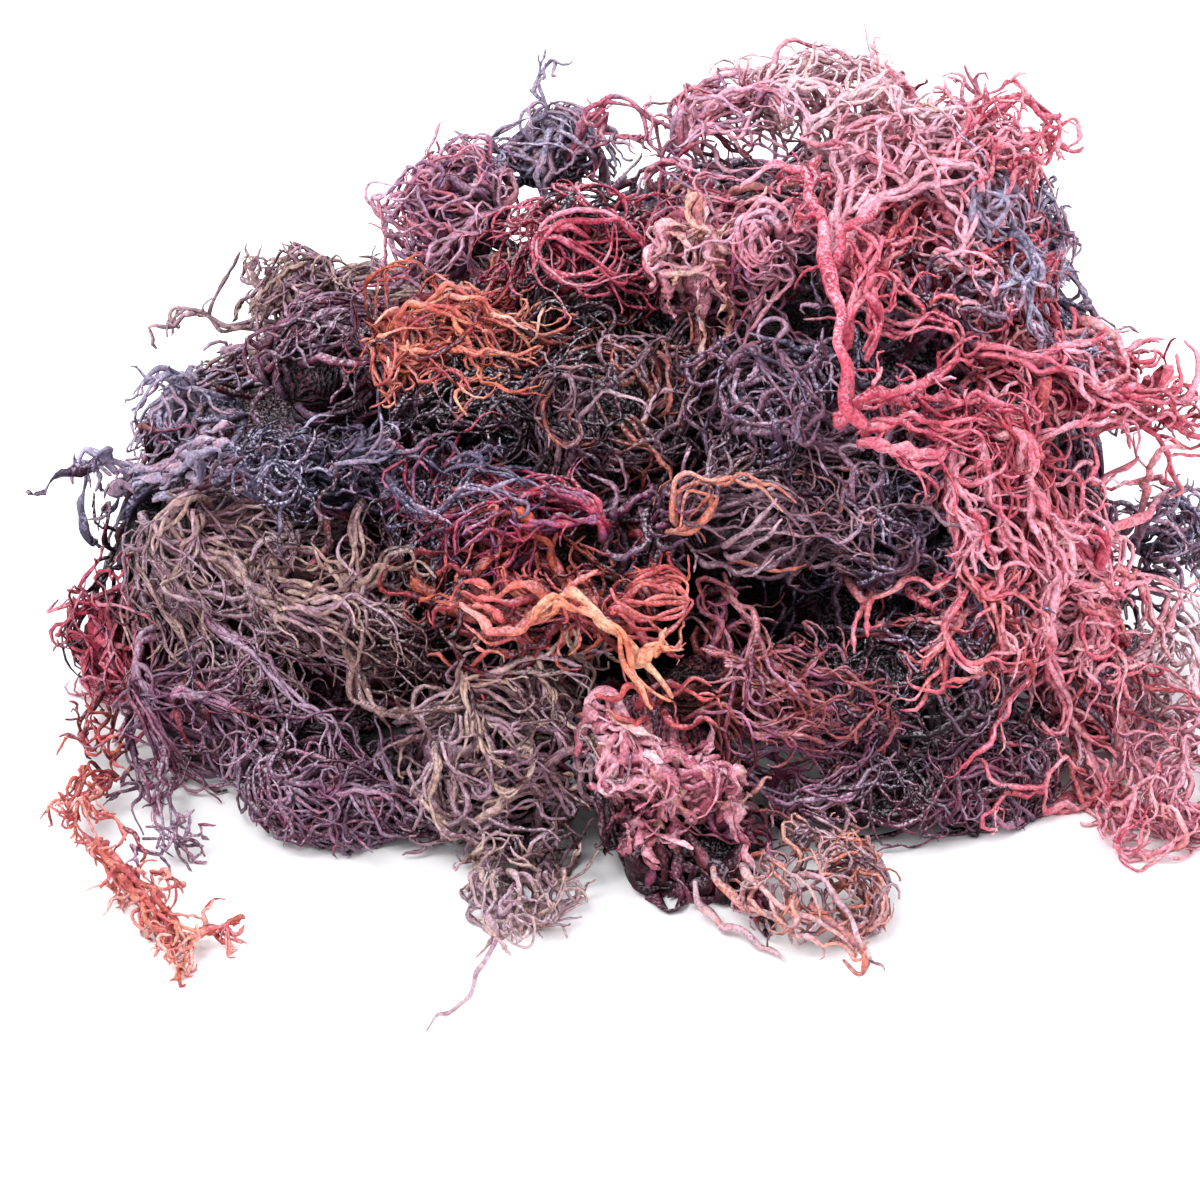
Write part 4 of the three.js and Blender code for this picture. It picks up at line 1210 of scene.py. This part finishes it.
# The right side: a coral plant that sweeps from the crown down over the flank, and what grows beside it.
# Its stems part and join again in flat webs. A net of finer branches hangs to its left, slate curls stick
# out behind it, and fine peach and raspberry curls hang at the right edge.

for node, slot, nature, look in [
    ("coral_sweep_top", "coral", COMBED, dict(
        heading=-4, fan=0.2, wander=0.5, tone=0.42, tint=0.1,
        stalks=[(1.8, 4, (846, 412), (870, 398), (909, 400), (937, 405), (969, 405), (1001, 424)),
                (1.6, 4, (854, 437), (880, 445), (905, 452), (932, 458), (952, 448), (978, 428)),
                (1.3, 5, (866, 425), (900, 424), (935, 430), (968, 425))])),
    ("coral_sweep_middle", "coral", WEBBED, dict(
        heading=-62, wander=0.5, tone=0.76, tint=0.1, cover=1.15,
        stalks=[(1.9, 5, (1001, 426), (1024, 437), (1031, 460), (1031, 484), (1036, 509), (1053, 545),
                 (1066, 571)),
                (1.5, 4, (985, 430), (985, 460), (992, 495), (1010, 530), (1030, 560), (1050, 580)),
                (1.3, 4, (1028, 520), (1048, 530), (1070, 545), (1092, 563), (1116, 570), (1125, 550),
                 (1104, 527), (1081, 504)),
                (1.2, 4, (957, 450), (953, 480), (962, 510), (980, 540))])),
    ("coral_sweep_foot", "coral", WEBBED, dict(
        heading=-80, fan=0.2, wander=0.5, tone=0.76, tint=0.3,
        stalks=[(1.9, 4, (1066, 571), (1056, 600), (1047, 621), (1050, 655), (1060, 678), (1074, 701),
                 (1088, 724)),
                (1.7, None, (110, -72, 16), (114, -82, 6), (116, -94, 2.6), (117, -115, 2.6)),
                (1.3, None, (117, -113, 2.4), (120, -118, 2.2), (127, -117, 2)),
                (1.2, None, (116, -92, 2.6), (121, -98, 2), (123, -106, 1.8)),
                (1.6, 4, (1060, 575), (1081, 587), (1111, 591), (1127, 586), (1145, 584), (1173, 598),
                 (1188, 610)),
                (1.3, 4, (1075, 590), (1090, 610), (1100, 635), (1098, 665))],
        ribs=[(1.1, 5, (1100, 560), (1108, 535), (1136, 518), (1158, 503), (1168, 484), (1140, 481),
               (1118, 482)),
              (1.0, 5, (1140, 516), (1146, 490), (1150, 464), (1166, 452), (1182, 446))])),
    ("coral_net", "coral", WEBBED, dict(
        heading=-70, wander=1.0, tone=0.5, tint=0.6, cover=0.8, scale=0.7, plies=2, parting=0.4,
        stalks=[(1.3, 6, (975, 585), (953, 610), (948, 632), (955, 655), (973, 665), (996, 658),
                 (1028, 656)),
                (1.1, 5, (998, 598), (1005, 628), (1015, 651)),
                (1.0, 5, (965, 560), (972, 580), (990, 595), (1008, 590), (1020, 570))],
        ribs=[(0.9, 5, (840, 593), (870, 596), (900, 582), (927, 584), (950, 578)),
              (0.8, 5, (865, 598), (858, 621), (851, 651)),
              (0.8, 5, (872, 596), (868, 615), (869, 635)),
              (0.9, 5, (905, 600), (925, 606), (948, 600))])),
    ("charcoal_right_tuft", "slate", CURLY, dict(
        heading=20, tone=0.7, tint=0.5, cover=0.8, depth=None, scale=0.7,
        stalks=[(1.1, None, (137, -44, 40), (142, -46, 46), (145, -44, 42), (142, -42, 37)),
                (1.1, None, (126, -46, 46), (133, -48, 58), (140, -47, 64))])),
    ("peach_web", "blush", CURLY, dict(
        heading=-70, wander=1.2, tone=1.4, tint=0.3, cover=0.8, depth=None, scale=0.7)),
    ("raspberry_curls", "raspberry", CURLY, dict(
        heading=-80, wander=1.2, tone=1.3, tint=-0.1, cover=0.75, depth=None, scale=0.7)),
    ("coral_side_branch", "coral", WEBBED, dict(
        heading=-5, fan=0.5, tone=0.6, tint=0.1, cover=1.1, scale=0.7, plies=2, parting=0.7,
        stalks=[(1.7, 5, (960, 352), (1000, 350), (1040, 362), (1080, 378), (1104, 391)),
                (1.5, 5, (1040, 362), (1062, 350), (1082, 344), (1104, 348)),
                (1.4, 5, (1104, 391), (1138, 389), (1168, 400), (1190, 410)),
                (1.2, 5, (1100, 398), (1122, 404), (1140, 408), (1158, 414)),
                (1.2, 5, (1047, 433), (1081, 424), (1104, 421), (1122, 426), (1133, 440),
                 (1128, 452))])),
]:
    piece(tuft(node, nature, **look), slot)


# The crown: the high airy plants on the right of the top.
# A thick pale coral stem forks upwards into a pink web, a tangle of wiry blush branches and a loop of coral
# ones. A mauve arch, a netted rosette, a folded cream tuft and a charcoal one stand round it.

for node, slot, nature, look in [
    ("crown_blush_tangle", "blush", AIRY, dict(
        heading=60, fan=0.6, wander=1.3, tone=0.92, tint=0.35, depth=None,
        stalks=[(1.5, 5, (812, 150), (808, 128), (830, 112), (850, 102), (872, 92), (893, 80)),
                (1.2, 5, (884, 82), (898, 105), (920, 118), (955, 122)),
                (1.3, 5, (785, 124), (786, 104), (795, 88), (812, 80), (830, 86))])),
    ("mauve_arch_tuft", "rose", AIRY, dict(
        heading=30, swirl=-0.4, wander=0.8, tone=0.72, tint=0.4, cover=1.05, depth=None,
        stalks=[(1.5, 4, (674, 140), (684, 113), (702, 115), (716, 104), (743, 97), (769, 94),
                 (784, 104)),
                (1.3, 4, (690, 150), (700, 130), (716, 127), (736, 131), (769, 115)),
                (1.2, 4, (642, 180), (653, 166), (676, 160), (700, 168))])),
    ("mauve_rosette", "rose", KNOTTED, dict(
        swirl=0.9, tone=0.62, tint=0.35, depth=5,
        stalks=[(1.2, 5, *oval((760, 241), (27, 30), 0, 5.8, 9)),
                (1.1, 6, *oval((761, 243), (14, 17), 1, 6.6, 7))])),
    ("cream_tuft", "blush", BLADED, dict(
        heading=-60, tone=0.42, tint=0.42, cover=0.9, depth=5, scale=0.8,
        stalks=[(1.8, 5, (700, 188), (697, 210), (704, 232), (716, 250), (728, 262)),
                (1.7, 5, (655, 272), (672, 276), (695, 270), (716, 276), (733, 280)),
                (1.5, 5, (647, 245), (650, 262), (660, 250), (652, 238))])),
    ("pink_upper_web", "rose", WEBBED, dict(
        heading=45, fan=0.7, wander=0.6, tone=0.82, tint=-0.1, cover=1.35, depth=None, scale=0.8,
        stalks=[(1.7, 5, (829, 248), (842, 218), (846, 190), (837, 165), (838, 140), (850, 120)),
                (1.7, 5, (829, 250), (853, 226), (878, 207), (905, 190), (930, 178), (960, 177),
                 (978, 183)),
                (1.4, 5, (905, 190), (890, 165), (868, 150), (852, 138)),
                (1.5, 5, (935, 262), (958, 250), (966, 225), (962, 200), (940, 184))])),
    ("coral_lower_web", "coral", WEBBED, dict(
        heading=60, fan=0.5, wander=0.8, tone=0.46, tint=0.15, cover=1.25, scale=0.75,
        stalks=[(1.3, 5, (846, 330), (856, 300), (866, 270), (872, 245), (890, 232)),
                (1.1, 5, (878, 345), (876, 310), (880, 280), (892, 262), (905, 240)),
                (1.2, 5, (846, 404), (880, 398), (915, 388), (940, 372), (958, 350), (955, 325),
                 (925, 318), (900, 330))])),
    ("charcoal_crown_tuft", "slate", CURLY, dict(
        heading=30, tone=0.98, tint=0.4, scale=0.8, stalk_tone=0.82, stalk_tint=0.3, parting=1.2,
        forking=1.6,
        stalks=[(1.3, 6, (1008, 226), (1022, 242), (1036, 257), (1037, 278), (1031, 300), (1041, 320),
                 (1050, 335)),
                (1.3, 8, (984, 184), (977, 199), (986, 214), (998, 206), (991, 190)),
                (1.1, 6, (1003, 170), (1012, 186), (1005, 202), (1002, 222)),
                (1.1, 5, (1037, 280), (1021, 285), (1006, 287))])),
]:
    piece(tuft(node, nature, **look), slot)

SPRIGGED = {
    **WEBBED, "branch": (0.6, 12, 9, 4), "twig": (0.45, 6, 5, 3), "wave": 0.35, "beat": 8, "curl": 0.6,
    "tilt": 0.8, "cling": 0.08, "height": 1.5,
}
piece(frond("coral_main_stem", [
    (1.5, 8, (850, 420), (848, 390), (842, 350), (835, 312), (829, 275), (826, 240), (818, 206),
     (802, 180), (778, 164), (764, 166)),
    (1.2, 7, (846, 404), (868, 398), (892, 392), (914, 384), (938, 374), (956, 352)),
    (1.1, 7, (830, 262), (842, 240), (856, 224), (870, 212), (884, 206)),
    (1.0, 8, (818, 206), (812, 190), (820, 176), (830, 186)),
], tone=0.42, tint=0.0, branches=0.1, twigs=0.1, spread=0.8, plies=1,
    nature={**SPRIGGED, "flute": 0.3, "twist": 0.5}), "coral")
piece(frond("crown_loop_frond", [
    (1.2, 5, (948, 178), (955, 150), (963, 131), (974, 110), (988, 94), (1002, 92), (1016, 94)),
    (1.0, 5, (968, 128), (984, 112), (1002, 100), (1018, 98), (1034, 108), (1048, 114), (1058, 124),
     (1070, 124), (1078, 128)),
    (1.0, 5, (1012, 94), (1030, 100), (1045, 110), (1057, 121), (1053, 140), (1048, 156), (1036, 166),
     (1026, 158)),
    (0.9, 5, (1056, 122), (1044, 134), (1034, 146), (1024, 154)),
    (0.9, 5, (1026, 156), (1031, 170), (1024, 184)),
    (0.8, 5, (990, 104), (1004, 106), (1014, 114), (1010, 124), (998, 124), (990, 116)),
    (1.1, 5, (955, 162), (972, 150), (990, 140), (1008, 136), (1018, 140)),
    (1.2, 5, (982, 172), (998, 156), (1012, 150), (1018, 164), (1004, 178)),
], tone=0.62, branches=0.2, twigs=0.25, nature=SPRIGGED), "coral")
